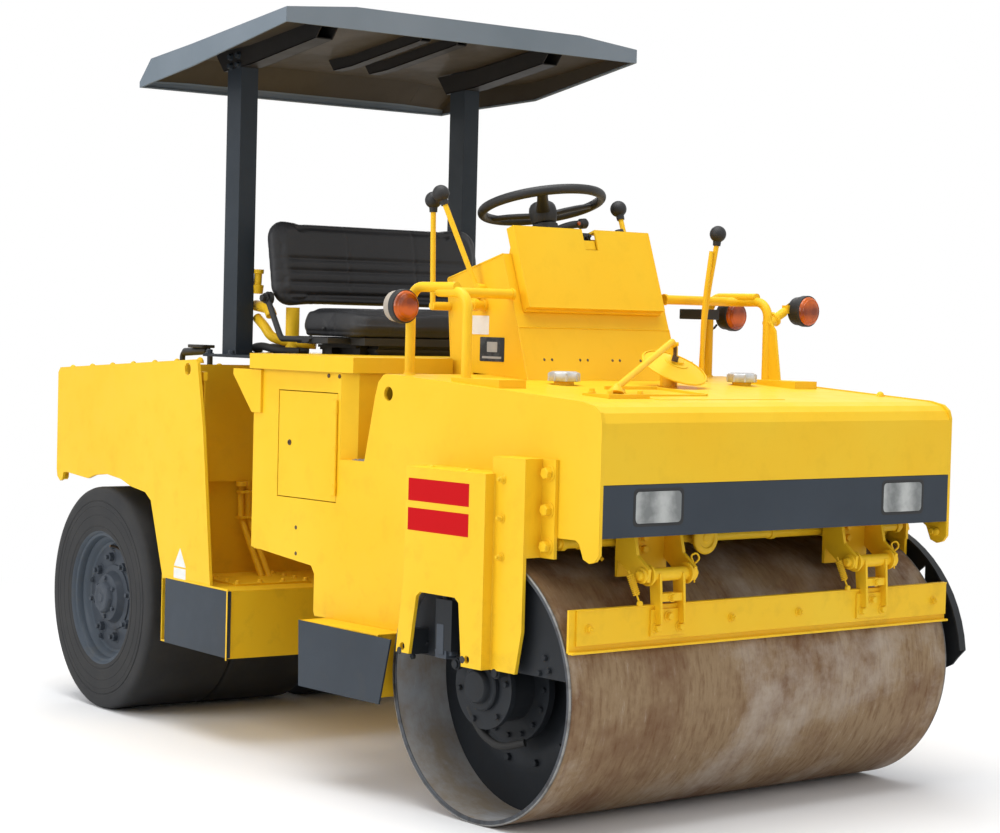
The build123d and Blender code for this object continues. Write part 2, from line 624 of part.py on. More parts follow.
# ---------------------------------------------------------------- scraper
HINGE_X, HINGE_Z = 1322.0, 652.0
ARM_Y = 380.0
CHEEK_Y = 74.0
ARM_PIN_R = 8.0
CHEEK = [(1222, 760), (1285, 760), (1300, 700), (1344, 668), (1340, 636), (1300, 632), (1222, 690)]
ARM = [(1318, 524), (1350, 532), (1342, 656), (1304, 652)]


def scraper():
    """Fixed brackets under the nose, and the blade assembly that folds on them."""
    t = PLATE
    bracket = [block(1222, 1222 + t, ARM_Y - CHEEK_Y - t, ARM_Y + CHEEK_Y + t, 640, 760)]
    for y0 in (ARM_Y - CHEEK_Y - t, ARM_Y + CHEEK_Y):
        bracket.append(side_slab(CHEEK, y0, y0 + t))
    bracket.append(block(1222, 1290, ARM_Y - CHEEK_Y - t, ARM_Y + CHEEK_Y + t, 750, 760))
    hinge = (ARM_Y - CHEEK_Y - t - 14, ARM_Y + CHEEK_Y + t + 14)
    bore = rod((HINGE_X, hinge[0], HINGE_Z), (HINGE_X, hinge[1], HINGE_Z), ARM_PIN_R + RUN)
    node("scraper_brackets", both(join(bracket) - bore))
    moving = [block(1310, 1318, -DRUM_HALF + 2, DRUM_HALF - 2, 474, 578)]
    for side in (-1, 1):
        y = side * ARM_Y
        moving.append(rod((HINGE_X, y - 66, HINGE_Z), (HINGE_X, y + 66, HINGE_Z), 17))
        ends = [(HINGE_X, side * y, HINGE_Z) for y in hinge[:2]]
        moving.append(rod(*ends, ARM_PIN_R))
        for dy in (-40, 40):
            moving.append(side_slab(ARM, y + dy - 4, y + dy + 4))
    node("scraper", join(moving))


def spray_tube():
    """Round bar under the nose with its cap."""
    bar = rod((1196, -INSIDE, 727), (1196, INSIDE, 727), 14)
    cap = rod((1196, -130, 727), (1240, -130, 727), 34)
    node("spray_tube", bar + cap)


# ---------------------------------------------------------------- seat and canopy
SEAT_PAN = 1211.0
PAN = (-330.0, 10.0, -350.0, 350.0)
PAN_T = 22.0
BASE = (-290.0, -10.0, 285.0)         # seat mechanism: x from, x to, half width
CUSHION = (-290.0, 30.0, 392.0, 1300.0)   # x from, x to, half width, top
BACK = [(-352, 1298), (-398, 1560), (-442, 1560), (-442, 1298)]
BACK_HALF = 408.0
SEAT_ARM_Y = 420.0
SEAT_PIVOT = (-390.0, 1322.0)


def seat():
    """Seat frame with its bent side tubes, cushion and backrest pads."""
    x0, x1, y0, y1 = PAN
    pan = block(x0, x1, y0, y1, SEAT_PAN - PAN_T, SEAT_PAN)
    bx0, bx1, half = BASE
    base = block(bx0, bx1, -half, half, DECK_TOP - SHEET, SEAT_PAN - PAN_T)
    base = base - block(BOX_REAR, bx1, -half, half, DECK_TOP - SHEET, DECK_TOP)
    px, pz = SEAT_PIVOT
    arms = []
    for side in (-1, 1):
        y = side * SEAT_ARM_Y
        arms.append(pipe([(px, y, pz), (px + 70, y, 1212), (px + 82, y, 1202), (-150, y, 1202)], 9, 8))
        arms.append(rod((-150, y, 1202), (-150, side * 340, 1202), 9))
        arms.append(rod((px, y, pz), (px, side * (BACK_HALF + SEAM), pz), 20))
    node("seat_frame", join([pan, base] + arms))
    cx0, cx1, half, top = CUSHION
    node("seat_cushion", block(cx0, cx1, -half, half, SEAT_PAN + SEAM, top))
    node("seat_back", side_slab(BACK, -BACK_HALF, BACK_HALF))


POST_Y = (405.0, 466.0)
POST_X = (-560.0, -486.0)
ROOF = [  # x, half width, foot of the rim, top of the rim, rise of the middle
    (40.0, 672.0, CANOPY_HEIGHT - 38, CANOPY_HEIGHT + 4, 22.0),
    (-442.0, 672.0, CANOPY_HEIGHT - 131, CANOPY_HEIGHT - 65, 22.0),
    (-767.0, 612.0, CANOPY_HEIGHT - 156, CANOPY_HEIGHT - 82, 18.0),
    (-850.0, 600.0, CANOPY_HEIGHT - 165, CANOPY_HEIGHT - 147, 4.0),
]
ROOF_FLAT = 430.0            # half width of the raised middle
ROOF_SKIN = 3.0


def roof_under(x, y):
    """Underside of the roof's skin at a point between the break and the rear fold."""
    front, rear = ROOF[1], ROOF[2]
    share = (x - front[0]) / (rear[0] - front[0])
    half, _, top, rise = (a + share * (b - a) for a, b in zip(front[1:], rear[1:]))
    edge = half - ROOF_SKIN
    return top - ROOF_SKIN + rise * min(1, (edge - y) / (edge - ROOF_FLAT))


def roof_shape(skin):
    """The roof's outer shape, or what its skin leaves free inside."""
    sections = []
    for x, half, low, top, rise in ROOF:
        half, top = half - skin, top - skin
        low = low - 1 if skin else low
        ring = [(x, -half, low), (x, half, low), (x, half, top), (x, ROOF_FLAT, top + rise),
                (x, -ROOF_FLAT, top + rise), (x, -half, top)]
        sections.append(make_face(Polyline(*ring, close=True)))
    shape = loft(sections, ruled=True)
    front, rear = ROOF[0][0] - skin, ROOF[-1][0] + skin
    return shape & block(rear, front, -BODY_WIDTH, BODY_WIDTH, 0, 2 * CANOPY_HEIGHT)


def canopy():
    """Two posts on base plates, and the shallow roof pan they carry."""
    x0, x1 = POST_X
    y0, y1 = POST_Y
    base = SHELF_LOW + 8
    tops = [(x, roof_under(x, y1) - SEAM) for x in (x1, x0)]
    post = side_slab([(x0, base), (x1, base), *tops], y0, y1)
    plate = block(x0 - 40, SHELF_NOSE, SHELF_HALF + 3, y1 + 44, SHELF_LOW, base)
    riser = block(BOX_REAR + 20, SHELF_NOSE, SHELF_HALF + 3, y1 + 44, base, DECK_TOP - SHEET)
    node("canopy_posts", both(join([post, plate, riser])))
    node("canopy_roof", roof_shape(0) - roof_shape(ROOF_SKIN))


# ---------------------------------------------------------------- rear frame
HUB_BACK = 150.0
ARM_HALF = 18.0
AXLE_R = 40.0
AXLE_HALF = 630.0
HOOD_HINGE_R = 6.0
LID_HINGE = (X_REAR + 11.5, 1066.0)
CYL_REAR = (-520.0, 330.0)
CYL_FRONT = (120.0, 165.0)
CYL_Z = 540.0
CYL_PIN_R = 12.0


def rear_line(x):
    """Top edge of the rear side plates."""
    return 1081 + (x - X_REAR) * 53 / 975


REAR_PLATE = [
    (X_REAR, 1065), (X_REAR + 16, rear_line(X_REAR + 16)), (-415, rear_line(-415)), (-401, 1122),
    (-358, 924), (-295, 461), (-601, 461), (-690, 690), (-730, 713), (-830, 724), (-900, 742),
    (-1001, 751), (-1090, 742), (-1140, 728), (-1300, 738), (-1326, 736), (-1336, 712), (-1352, 706),
    (X_REAR + 6, 720), (X_REAR, 745),
]
EYE_REAR = (-463.0, 1103.0)
REAR_SPLIT = -775.0
BULKHEAD = -600.0
LOW_WALL = -625.0
LOW_BOX = (-186.0, 262.0, 461.0)     # front face, floor, top
Z_PAN = 752.0
STEP_PANEL = (-573.0, -182.0, 265.0, 461.0)


def rear_frame():
    """Side plates, walls and floors of the tyre frame."""
    t = SHEET
    plate = side_slab(REAR_PLATE, INSIDE, HALF)
    plate = plate - ring_y(X_AXLE, Z_AXLE, TYRE_R + 20, 0, INSIDE - 1, HALF + 1)
    plate = drill_y(plate, *EYE_REAR, EYE_R, INSIDE, HALF)
    node("rear_side_plates", both(plate))
    front, floor, top = LOW_BOX
    cover = [(REAR_SPLIT, rear_line(REAR_SPLIT) - 14), (REAR_SPLIT, rear_line(REAR_SPLIT) - 9),
             (BULKHEAD + t, rear_line(BULKHEAD) - 9), (BULKHEAD + t, rear_line(BULKHEAD) - 14)]
    walls = [
        block(BULKHEAD, BULKHEAD + t, -INSIDE, INSIDE, Z_PAN, rear_line(BULKHEAD) - 12),
        block(LOW_WALL, LOW_WALL + t, -INSIDE, INSIDE, top, Z_PAN + t),
        block(X_REAR + 5, BULKHEAD + t, -INSIDE, INSIDE, Z_PAN, Z_PAN + t),
        block(X_REAR + 5, X_REAR + 5 + t, -INSIDE, INSIDE, Z_PAN, LID_HINGE[1] - HOOD_HINGE_R - HINGE_AIR),
        side_slab(cover, -INSIDE, INSIDE),
        block(REAR_SPLIT, REAR_SPLIT + t, -INSIDE, INSIDE, Z_PAN, rear_line(REAR_SPLIT) - 12),
    ]
    node("rear_body", join(walls))
    low = [
        block(LOW_WALL, front, -INSIDE, INSIDE, top - t, top),
        block(front - t, front, -INSIDE, INSIDE, floor, top),
        block(LOW_WALL, LOW_WALL + t, -INSIDE, INSIDE, floor, top),
        block(LOW_WALL, front, -INSIDE, INSIDE, floor, floor + t),
    ]
    hub = rod((X_PIVOT, 0, HUB_LOW), (X_PIVOT, 0, HUB_HIGH), HUB_R)
    nose = block(X_PIVOT - HUB_BACK, X_PIVOT, -HUB_R, HUB_R, HUB_LOW, HUB_HIGH)
    arm = block(X_AXLE - 90, LOW_WALL, -ARM_HALF, ARM_HALF, 290, top)
    arm = arm + block(LOW_WALL - 110, LOW_WALL, -ARM_HALF, ARM_HALF, top - t, Z_PAN)
    axle = rod((X_AXLE, -AXLE_HALF, Z_AXLE), (X_AXLE, AXLE_HALF, Z_AXLE), AXLE_R)
    collar = rod((X_AXLE, -ARM_HALF - 14, Z_AXLE), (X_AXLE, ARM_HALF + 14, Z_AXLE), AXLE_R + 22)
    pin = rod((*CYL_REAR, top), (*CYL_REAR, CYL_Z + 32), CYL_PIN_R)
    whole = join(low + [hub, nose, arm, axle, collar, pin])
    whole = whole - rod((X_PIVOT, 0, floor - 1), (X_PIVOT, 0, HUB_HIGH + 1), PIN_R + RUN)
    node("rear_chassis", whole)
    x0, x1, z0, z1 = STEP_PANEL
    node("rear_step_panels", both(block(x0, x1, INSIDE, HALF + 4, z0, z1)))
    start = LOW_WALL + t
    pipes = [pipe([(start + 30, y, Z_PAN), (start + 38, y, 640), (start + 98, y + 10, 540),
                   (start + 160, y + 20, top - 20)], 9, 30) for y in (-392, -366)]
    node("rear_pipes", [line - block(start, 0, -HALF, 0, top - 60, top) for line in pipes])


HANDLE_X = (-977.0, -790.0)
HANDLE_Y = -400.0
HANDLE_RISE = 42.0


def engine():
    """Engine as one heavy block, and the hood lid with its rear hinge barrel and handle."""
    node("engine_block", block(-1240, -800, -260, 260, Z_PAN + SHEET, 1030))
    t, rim = SHEET, 26.0
    x0, x1 = X_REAR + 15, REAR_SPLIT - GAP
    a, b = rear_line(x0) - 9, rear_line(x1) - 9
    half = INSIDE - 4
    lid = side_slab([(x0, a - rim), (x0, a), (x1, b), (x1, b - rim)], -half, half)
    lid = lid - side_slab([(x0 + t, a - rim - 1), (x0 + t, a - t), (x1 - t, b - t), (x1 - t, b - rim - 1)],
                          -half + t, half - t)
    hx, hz = LID_HINGE
    barrel = rod((hx, -half, hz), (hx, half, hz), HOOD_HINGE_R)
    node("engine_hood", lid + barrel)
    hy, rise = HANDLE_Y, HANDLE_RISE
    ends = [(x, hy, rear_line(x) - 12) for x in HANDLE_X]
    tops = [(x, hy, rear_line(x) + rise) for x in HANDLE_X]
    bar = pipe([ends[0], tops[0], tops[1], ends[1]], 9, 20)
    under = side_slab([(x0, a - rim), (x0, a), (x1, b), (x1, b - rim)], -half, half)
    node("hood_handle", bar - under)


# ---------------------------------------------------------------- rear axle and tyres
TYRE_OUT = 667.0
TYRE_W = 312.0
TWIN_GAP = 4.0
SHOULDER = 8.0
RIM_R = 208.0
RIM_IN = 17.0                # rim edge inside the tyre's face
DISC_Y = 608.0
DISC_T = 12.0
CAP_WHEEL_R = 54.0


def tyre_ring(y0, y1):
    """One smooth tyre with rounded shoulders."""
    body = ring_y(X_AXLE, Z_AXLE, TYRE_R, RIM_R, y0, y1)
    edges = body.edges().filter_by(GeomType.CIRCLE).filter_by(lambda e: e.radius > TYRE_R - 1)
    return fillet(edges, SHOULDER)


def wheels():
    """Twin wheels and their tyres, left and right."""
    y3 = TYRE_OUT
    y2 = y3 - TYRE_W
    y1 = y2 - TWIN_GAP
    y0 = y1 - TYRE_W
    tyres = [tyre_ring(y2, y3), tyre_ring(y0, y1)]
    bore = AXLE_R + RUN
    rim = ring_y(X_AXLE, Z_AXLE, RIM_R, RIM_R - 8, y0 + 20, y3 - RIM_IN)
    disc = ring_y(X_AXLE, Z_AXLE, RIM_R - 7, bore, DISC_Y, DISC_Y + DISC_T)
    disc2 = ring_y(X_AXLE, Z_AXLE, RIM_R - 7, bore, y0 + 80, y0 + 80 + DISC_T)
    sleeve = ring_y(X_AXLE, Z_AXLE, AXLE_R + 30, bore, y0 + 20, DISC_Y)
    cap = rod((X_AXLE, AXLE_HALF + CLEAR, Z_AXLE), (X_AXLE, TYRE_OUT, Z_AXLE), CAP_WHEEL_R)
    cap = cap + ring_y(X_AXLE, Z_AXLE, CAP_WHEEL_R, bore, DISC_Y, AXLE_HALF + CLEAR + 1)
    wheel = join([rim, disc, disc2, sleeve, cap])
    node("tyres_left", tyres)
    node("tyres_right", [mirror_y(t) for t in tyres])
    node("wheels_left", wheel)
    node("wheels_right", mirror_y(wheel))


# ---------------------------------------------------------------- steering cylinder
CYL_R = 32.0
ROD_R = 15.0
CYL_BODY = 360.0
ROD_START = 190.0


def swung(x, y):
    """Where a point of the rear frame lies once the frame is turned by STEER."""
    a = math.radians(STEER)
    dx = x - X_PIVOT
    return (X_PIVOT + dx * math.cos(a) - y * math.sin(a), dx * math.sin(a) + y * math.cos(a))


def steering_cylinder():
    """Barrel on the rear frame's pin, and its rod towards the front frame."""
    ax, ay = swung(*CYL_REAR)
    bx, by = CYL_FRONT
    length = math.hypot(bx - ax, by - ay)

    def at(distance):
        return (ax + (bx - ax) * distance / length, ay + (by - ay) * distance / length, CYL_Z)
    eye = rod((ax, ay, CYL_Z - 20), (ax, ay, CYL_Z + 20), 30)
    barrel = rod(at(20), at(CYL_BODY), CYL_R) + eye
    barrel = barrel - rod((ax, ay, CYL_Z - 21), (ax, ay, CYL_Z + 21), CYL_PIN_R + RUN)
    barrel = barrel - rod(at(60), at(CYL_BODY + 1), ROD_R + RUN)
    node("steering_barrel", barrel)
    front_eye = rod((bx, by, CYL_Z - 18), (bx, by, CYL_Z + 18), 28)
    shaft = rod(at(ROD_START), at(length - 10), ROD_R) + front_eye
    node("steering_rod", shaft - rod((bx, by, CYL_Z - 19), (bx, by, CYL_Z + 19), 16))


# ---------------------------------------------------------------- parked pose
REAR_NODES = ("rear_side_plates", "rear_body", "rear_chassis", "rear_step_panels", "rear_pipes",
              "engine_block", "engine_hood", "hood_handle", "tyres_left", "tyres_right", "wheels_left",
              "wheels_right")


def park():
    """Swing the rear frame by STEER and put the origin in the middle of the outer box."""
    pivot = Axis((X_PIVOT, 0, 0), (0, 0, 1))
    for name in REAR_NODES:
        NODES[name] = [solid.rotate(pivot, STEER, transform=True) for solid in NODES[name]]
    boxes = [solid.bounding_box() for solids in NODES.values() for solid in solids]
    mid_x = (min(box.min.X for box in boxes) + max(box.max.X for box in boxes)) / 2
    mid_y = (min(box.min.Y for box in boxes) + max(box.max.Y for box in boxes)) / 2
    for name, solids in NODES.items():
        NODES[name] = [solid.translate((-mid_x, -mid_y, 0), transform=True) for solid in solids]
    print("moved by", round(-mid_x, 3), round(-mid_y, 3))


for build in (front_side_plates, hood_shell, fascia_band, seat_box, deck, box_doors, chassis, pivot_pin,
              drum, drum_hubs, drum_legs, drum_guard, front_steps, console, dash_lid, steering, levers, rails,
              hood_fittings, scraper, spray_tube, seat, canopy, rear_frame, engine, wheels,
              steering_cylinder):
    build()
park()

for name, solids in NODES.items():
    shape = solids[0] if len(solids) == 1 else Compound(children=solids)
    export_step(shape, f"parts/{name}.step")
    print(name, len(solids), "solids")
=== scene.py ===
"""Looks of an articulated road roller: enamel, worn steel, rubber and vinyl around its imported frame.

Sizes are millimetres in the frame's own axes: +X towards the drum, +Y to the machine's left, +Z up.
Every piece is drawn on a straight machine whose drum stands at DRUM_X, and `parked` takes it to its place.
"""

import json
import logging
import math
from collections.abc import Mapping, Sequence
from dataclasses import dataclass
from enum import Enum
from typing import Any

import bmesh
import bpy
from mathutils import Matrix, Vector

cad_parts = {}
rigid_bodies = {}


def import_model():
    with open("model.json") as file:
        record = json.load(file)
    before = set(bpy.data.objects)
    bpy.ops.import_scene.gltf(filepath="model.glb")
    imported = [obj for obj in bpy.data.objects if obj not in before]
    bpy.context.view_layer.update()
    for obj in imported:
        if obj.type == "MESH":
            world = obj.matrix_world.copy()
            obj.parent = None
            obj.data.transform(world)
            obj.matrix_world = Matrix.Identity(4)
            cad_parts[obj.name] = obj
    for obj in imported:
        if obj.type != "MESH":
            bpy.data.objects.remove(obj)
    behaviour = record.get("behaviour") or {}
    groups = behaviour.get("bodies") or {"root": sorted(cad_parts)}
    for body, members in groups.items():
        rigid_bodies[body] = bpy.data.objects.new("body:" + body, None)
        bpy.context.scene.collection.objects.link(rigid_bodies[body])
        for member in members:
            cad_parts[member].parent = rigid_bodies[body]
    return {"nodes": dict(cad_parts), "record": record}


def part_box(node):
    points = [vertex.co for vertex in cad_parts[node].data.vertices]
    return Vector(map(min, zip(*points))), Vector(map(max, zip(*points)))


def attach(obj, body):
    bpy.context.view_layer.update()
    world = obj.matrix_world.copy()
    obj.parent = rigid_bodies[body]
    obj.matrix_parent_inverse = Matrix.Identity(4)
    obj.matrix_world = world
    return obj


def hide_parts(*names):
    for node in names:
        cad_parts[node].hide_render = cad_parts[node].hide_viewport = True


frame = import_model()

Point = tuple[float, float, float]
Flat = tuple[float, float]
Quad = tuple[float, float, float, float]
Place = Point | Vector
Tree = bpy.types.NodeTree
Node = bpy.types.Node
Socket = bpy.types.NodeSocket

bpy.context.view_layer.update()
METRE = 1000.0
DRUM_X = 980.0  # station of the drum's axis before the machine is centred
PIVOT_X = -100.0  # station of the articulation
STEER = -5.0  # degrees that the rear frame stands turned
HALF = 650.0  # outer face of both frames' side plates
UP: Point = (0, 0, 1)
FORWARD: Point = (1, 0, 0)
ACROSS: Point = (0, 1, 0)
LOG = logging.getLogger("roller")


class Body(str, Enum):
    """The CAD bodies that pieces ride on."""

    FRONT = "front_frame"
    REAR = "rear_frame"
    DRUM = "drum"
    SCRAPER = "scraper"
    LID = "dash_lid"
    STEERING = "steering_wheel"
    LEFT_DOOR = "left_door"
    RIGHT_DOOR = "right_door"
    HOOD = "engine_hood"
    LEFT_WHEELS = "left_wheels"
    RIGHT_WHEELS = "right_wheels"
    BARREL = "steering_barrel"


TURNED = (Body.REAR, Body.HOOD, Body.LEFT_WHEELS, Body.RIGHT_WHEELS)


class Slot(str, Enum):
    """The record's material slots."""

    YELLOW = "yellow_paint"
    GREY = "grey_paint"
    DRUM = "drum_steel"
    STEEL = "bright_steel"
    PLASTIC = "black_plastic"
    VINYL = "black_vinyl"
    HEADLAMP = "lamp_glass"
    AMBER = "amber_lamp"
    TYRE = "tyre_rubber"
    HOSE = "black_rubber"
    CAST = "cast_iron"


class Lay(Enum):
    """How an outline lies before it is given thickness."""

    SIDE = "outline in X and Z, thickness in Y"
    PLAN = "outline in X and Y, thickness in Z"
    FRONT = "outline in Y and Z, thickness in X"


class Side(Enum):
    """The machine's two sides, as signs of Y."""

    LEFT = 1
    RIGHT = -1

    @property
    def out(self) -> Point:
        """Direction away from the machine."""
        return 0, self.value, 0

    @property
    def word(self) -> str:
        """The side's name, as pieces carry it."""
        return self.name.lower()

    def y(self, reach: float) -> float:
        """Y at a distance from the middle plane."""
        return self.value * reach

    def span(self, inner: float, outer: float) -> Flat:
        """Lowest and highest Y between two distances from the middle plane."""
        low, high = sorted((self.value * inner, self.value * outer))
        return low, high


# ---------------------------------------------------------------- nodes and colours
def linear(code: str) -> tuple[float, float, float, float]:
    """Turn an sRGB hex colour to linear light.

    Args:
        code: Six hex digits, with or without a leading hash.

    Returns:
        Red, green, blue and an alpha of one.
    """
    digits = code.lstrip("#")
    parts = [int(digits[i : i + 2], 16) / 255 for i in (0, 2, 4)]
    light = [p / 12.92 if p <= 0.04045 else ((p + 0.055) / 1.055) ** 2.4 for p in parts]
    return light[0], light[1], light[2], 1.0


def per_metre(size: float) -> float:
    """Texture scale for a pattern whose cells measure this many millimetres."""
    return METRE / size


def put(
    tree: Tree,
    kind: str,
    values: Mapping[Any, Any] | None = None,
    links: Mapping[Any, Socket] | None = None,
    **settings: Any,
) -> Node:
    """Add one node with its settings, its socket values and the links into it.

    Args:
        tree: The material's or world's node tree.
        kind: Blender's name for the node type, without its "ShaderNode".
        values: Default value of each named or numbered input.
        links: Output socket that feeds each named or numbered input.
        **settings: Properties of the node itself.

    Returns:
        The new node.
    """
    made = tree.nodes.new(f"ShaderNode{kind}")
    for key, value in settings.items():
        setattr(made, key, value)
    for key, value in (values or {}).items():
        made.inputs[key].default_value = value
    for key, source in (links or {}).items():
        tree.links.new(source, made.inputs[key])
    return made


def noise(tree: Tree, place: Socket, size: float, detail: float, roughness: float = 0.5) -> Socket:
    """Cloudy noise whose largest cells measure this many millimetres."""
    values = {"Scale": per_metre(size), "Detail": detail, "Roughness": roughness}
    return put(tree, "TexNoise", values, {"Vector": place}).outputs["Fac"]


def spread(tree: Tree, value: Socket, start: float, end: float, low: float, high: float) -> Socket:
    """Map a value between start and end onto low to high, held at both ends."""
    values = {"From Min": start, "From Max": end, "To Min": low, "To Max": high}
    return put(tree, "MapRange", values, {"Value": value}).outputs[0]


def reckon(tree: Tree, operation: str, first: Socket, second: Socket, clamp: bool = False) -> Socket:
    """Work out one sum, product or larger of two values."""
    return put(tree, "Math", links={0: first, 1: second}, operation=operation, use_clamp=clamp).outputs[0]


def veil(tree: Tree, amount: Socket, under: Socket | str, over: str) -> Socket:
    """Lay a hex colour over another colour, or over a pattern, by an amount."""
    values, links = {"B": linear(over)}, {"Factor": amount}
    if isinstance(under, str):
        values["A"] = linear(under)
    else:
        links["A"] = under
    return put(tree, "Mix", values, links, data_type="RGBA").outputs["Result"]


def shade(tree: Tree, value: Socket, stops: Sequence[tuple[float, str]]) -> Socket:
    """Colour a value by a ramp.

    Args:
        tree: The material's node tree.
        value: The value, from 0 to 1.
        stops: Place from 0 to 1 and hex colour, in order.

    Returns:
        The ramp's colour.
    """
    ramp = put(tree, "ValToRGB", links={"Fac": value})
    elements = ramp.color_ramp.elements
    while len(elements) < len(stops):
        elements.new(0.5)
    for element, (place, code) in zip(elements, stops):
        element.position = place
        element.color = linear(code)
    return ramp.outputs["Color"]


def emboss(tree: Tree, height: Socket, strength: float, deep: float, over: Socket | None = None) -> Socket:
    """Bumps from a pattern, this many millimetres deep, over a normal where one is given."""
    links = {"Height": height} | ({"Normal": over} if over else {})
    return put(tree, "Bump", {"Strength": strength, "Distance": deep / METRE}, links).outputs[0]


def surface(tree: Tree, colour: Socket, normal: Socket, dull: Socket | None, **values: float) -> Node:
    """Add the shader that carries a colour, a relief and, where one is given, a pattern of roughness.

    Args:
        tree: The material's node tree.
        colour: Its colour.
        normal: Its relief.
        dull: Its roughness, or None for one plain value.
        **values: Its other inputs, with underscores for spaces.

    Returns:
        The shader node.
    """
    links = {"Base Color": colour, "Normal": normal} | ({"Roughness": dull} if dull else {})
    return put(tree, "BsdfPrincipled", {key.replace("_", " "): value for key, value in values.items()}, links)


@dataclass(frozen=True)
class Finish:
    """A finish: what the surface is, and how it was made."""

    name: str  # material and process, in plain words
    slot: Slot  # the record's slot that it stands for
    colour: str  # the fresh colour, as sRGB hex

    def material(self) -> bpy.types.Material:
        """Build the material once and return it on every later call."""
        made = bpy.data.materials.get(self.name)
        if made is None:
            made = bpy.data.materials.new(self.name)
            made.use_nodes = True
            tree = made.node_tree
            tree.nodes.clear()
            place = put(tree, "TexCoord").outputs["Object"]
            put(tree, "OutputMaterial", links={"Surface": self.skin(tree, place).outputs[0]})
            made.diffuse_color = linear(self.colour)
        return made

    def skin(self, tree: Tree, place: Socket) -> Node:
        """Build the surface shader over the piece's own place in metres, and return it."""
        raise NotImplementedError


@dataclass(frozen=True)
class Enamel(Finish):
    """Sprayed enamel on sheet steel: clean gloss with slight orange peel, dusty low down, soft edges."""

    faded: str  # colour where sun and washing have dulled it
    grime: str  # colour of the dust and oil that collect on it
    roughness: float = 0.36  # roughness of a clean patch
    soiling: float = 0.35  # how much grime shows, from 0 to 1
    peel: float = 4.0  # width of the orange peel's cells, where real ones are about half as wide
    edge: float = 1.6  # radius that paint gives a cut edge
    shine: float = 0.22  # how strongly it mirrors, where 0.5 is its full share

    def skin(self, tree: Tree, place: Socket) -> Node:
        """Enamel that fades in clouds, gathers dust in spots towards the ground, and has an orange peel."""
        stain = noise(tree, place, 70, 7.0, 0.62)
        height = put(tree, "SeparateXYZ", links={0: place}).outputs["Z"]
        low = spread(tree, height, 1.0, 0.25, 0.25, 1.0)
        spots = spread(tree, stain, 0.52, 0.78, 0.0, self.soiling)
        dirt = reckon(tree, "MULTIPLY", low, spots)
        paint = shade(tree, noise(tree, place, 420, 3.0), [(0.35, self.colour), (0.72, self.faded)])
        rounded_edge = put(tree, "Bevel", {"Radius": self.edge / METRE}, samples=4).outputs[0]
        return surface(
            tree,
            veil(tree, dirt, paint, self.grime),
            emboss(tree, noise(tree, place, self.peel, 1.0), 0.05, 0.4, rounded_edge),
            spread(tree, stain, 0.0, 1.0, self.roughness, self.roughness + 0.3),
            Coat_Weight=self.shine * 0.27,
            Coat_Roughness=0.12,
            IOR=1.5,
            Specular_IOR_Level=self.shine,
        )


@dataclass(frozen=True)
class RolledPlate(Finish):
    """Drum plate rolled from steel: worn to a brown patina, streaked the way it rolls."""

    rust: str  # colour of the thin rust
    bare: str  # colour where stone has polished it, and of the painted glints on specks
    streak: float = 14.0  # width of a streak across the drum, where real ones go down to about a millimetre
    metal: float = 0.35  # how far the metal shows through its scale, from 0 to 1

    def skin(self, tree: Tree, place: Socket) -> Node:
        """Streaks round the drum, clouds of rust over them, and dry pale patches with painted glints on top.
        """
        drawn = put(tree, "Mapping", {"Scale": (1.0, 5.0, 1.0)}, {"Vector": place}).outputs[0]
        aside = put(tree, "Mapping", {"Location": (3.1, 1.7, 5.3)}, {"Vector": place}).outputs[0]
        streaks = noise(tree, drawn, self.streak * 5, 8.0, 0.68)
        specks = noise(tree, drawn, 9, 6.0, 0.75)
        stops = [(0.22, self.rust), (0.5, self.colour), (0.6, self.colour), (0.82, self.bare)]
        rusting = spread(tree, noise(tree, place, 330, 8.0, 0.66), 0.44, 0.6, 0.0, 0.8)
        rusted = veil(tree, rusting, shade(tree, streaks, stops), self.rust)
        # painted glints: specks lightened to the bare colour as small highlights
        glints = spread(tree, specks, 0.6, 0.74, 0.0, 0.28)
        chalk = spread(tree, noise(tree, aside, 380, 8.0, 0.68), 0.5, 0.66, 0.0, 0.7)
        return surface(
            tree,
            veil(tree, reckon(tree, "MAXIMUM", glints, chalk), rusted, self.bare),
            emboss(tree, specks, 0.35, 0.6),
            spread(tree, streaks, 0.3, 0.7, 0.72, 0.42),
            Metallic=self.metal,
            Specular_IOR_Level=0.3,
        )


@dataclass(frozen=True)
class Moulded(Finish):
    """Rubber, plastic, film or coated cloth from a mould: even colour with a fine grain and some dust."""

    dust: str  # colour of the dust in its grain
    roughness: float = 0.5  # roughness of the clean surface
    grain: float = 2.0  # width of the grain's cells, where real ones are about half as wide
    relief: float = 0.15  # strength of the grain
    dusting: float = 0.4  # how much dust shows, from 0 to 1
    patch: float = 90.0  # width of a dusty patch
    shine: float = 0.4  # how strongly it mirrors, where 0.5 is its full share

    def skin(self, tree: Tree, place: Socket) -> Node:
        """Grain as cells, and dust in soft patches that are duller too."""
        cells = put(tree, "TexVoronoi", {"Scale": per_metre(self.grain)}, {"Vector": place})
        cloud = noise(tree, place, self.patch, 6.0, 0.6)
        return surface(
            tree,
            veil(tree, spread(tree, cloud, 0.4, 0.75, 0.0, self.dusting), self.colour, self.dust),
            emboss(tree, cells.outputs["Distance"], self.relief, 0.5),
            spread(tree, cloud, 0.0, 1.0, self.roughness, min(1.0, self.roughness + 0.3)),
            Specular_IOR_Level=self.shine,
        )


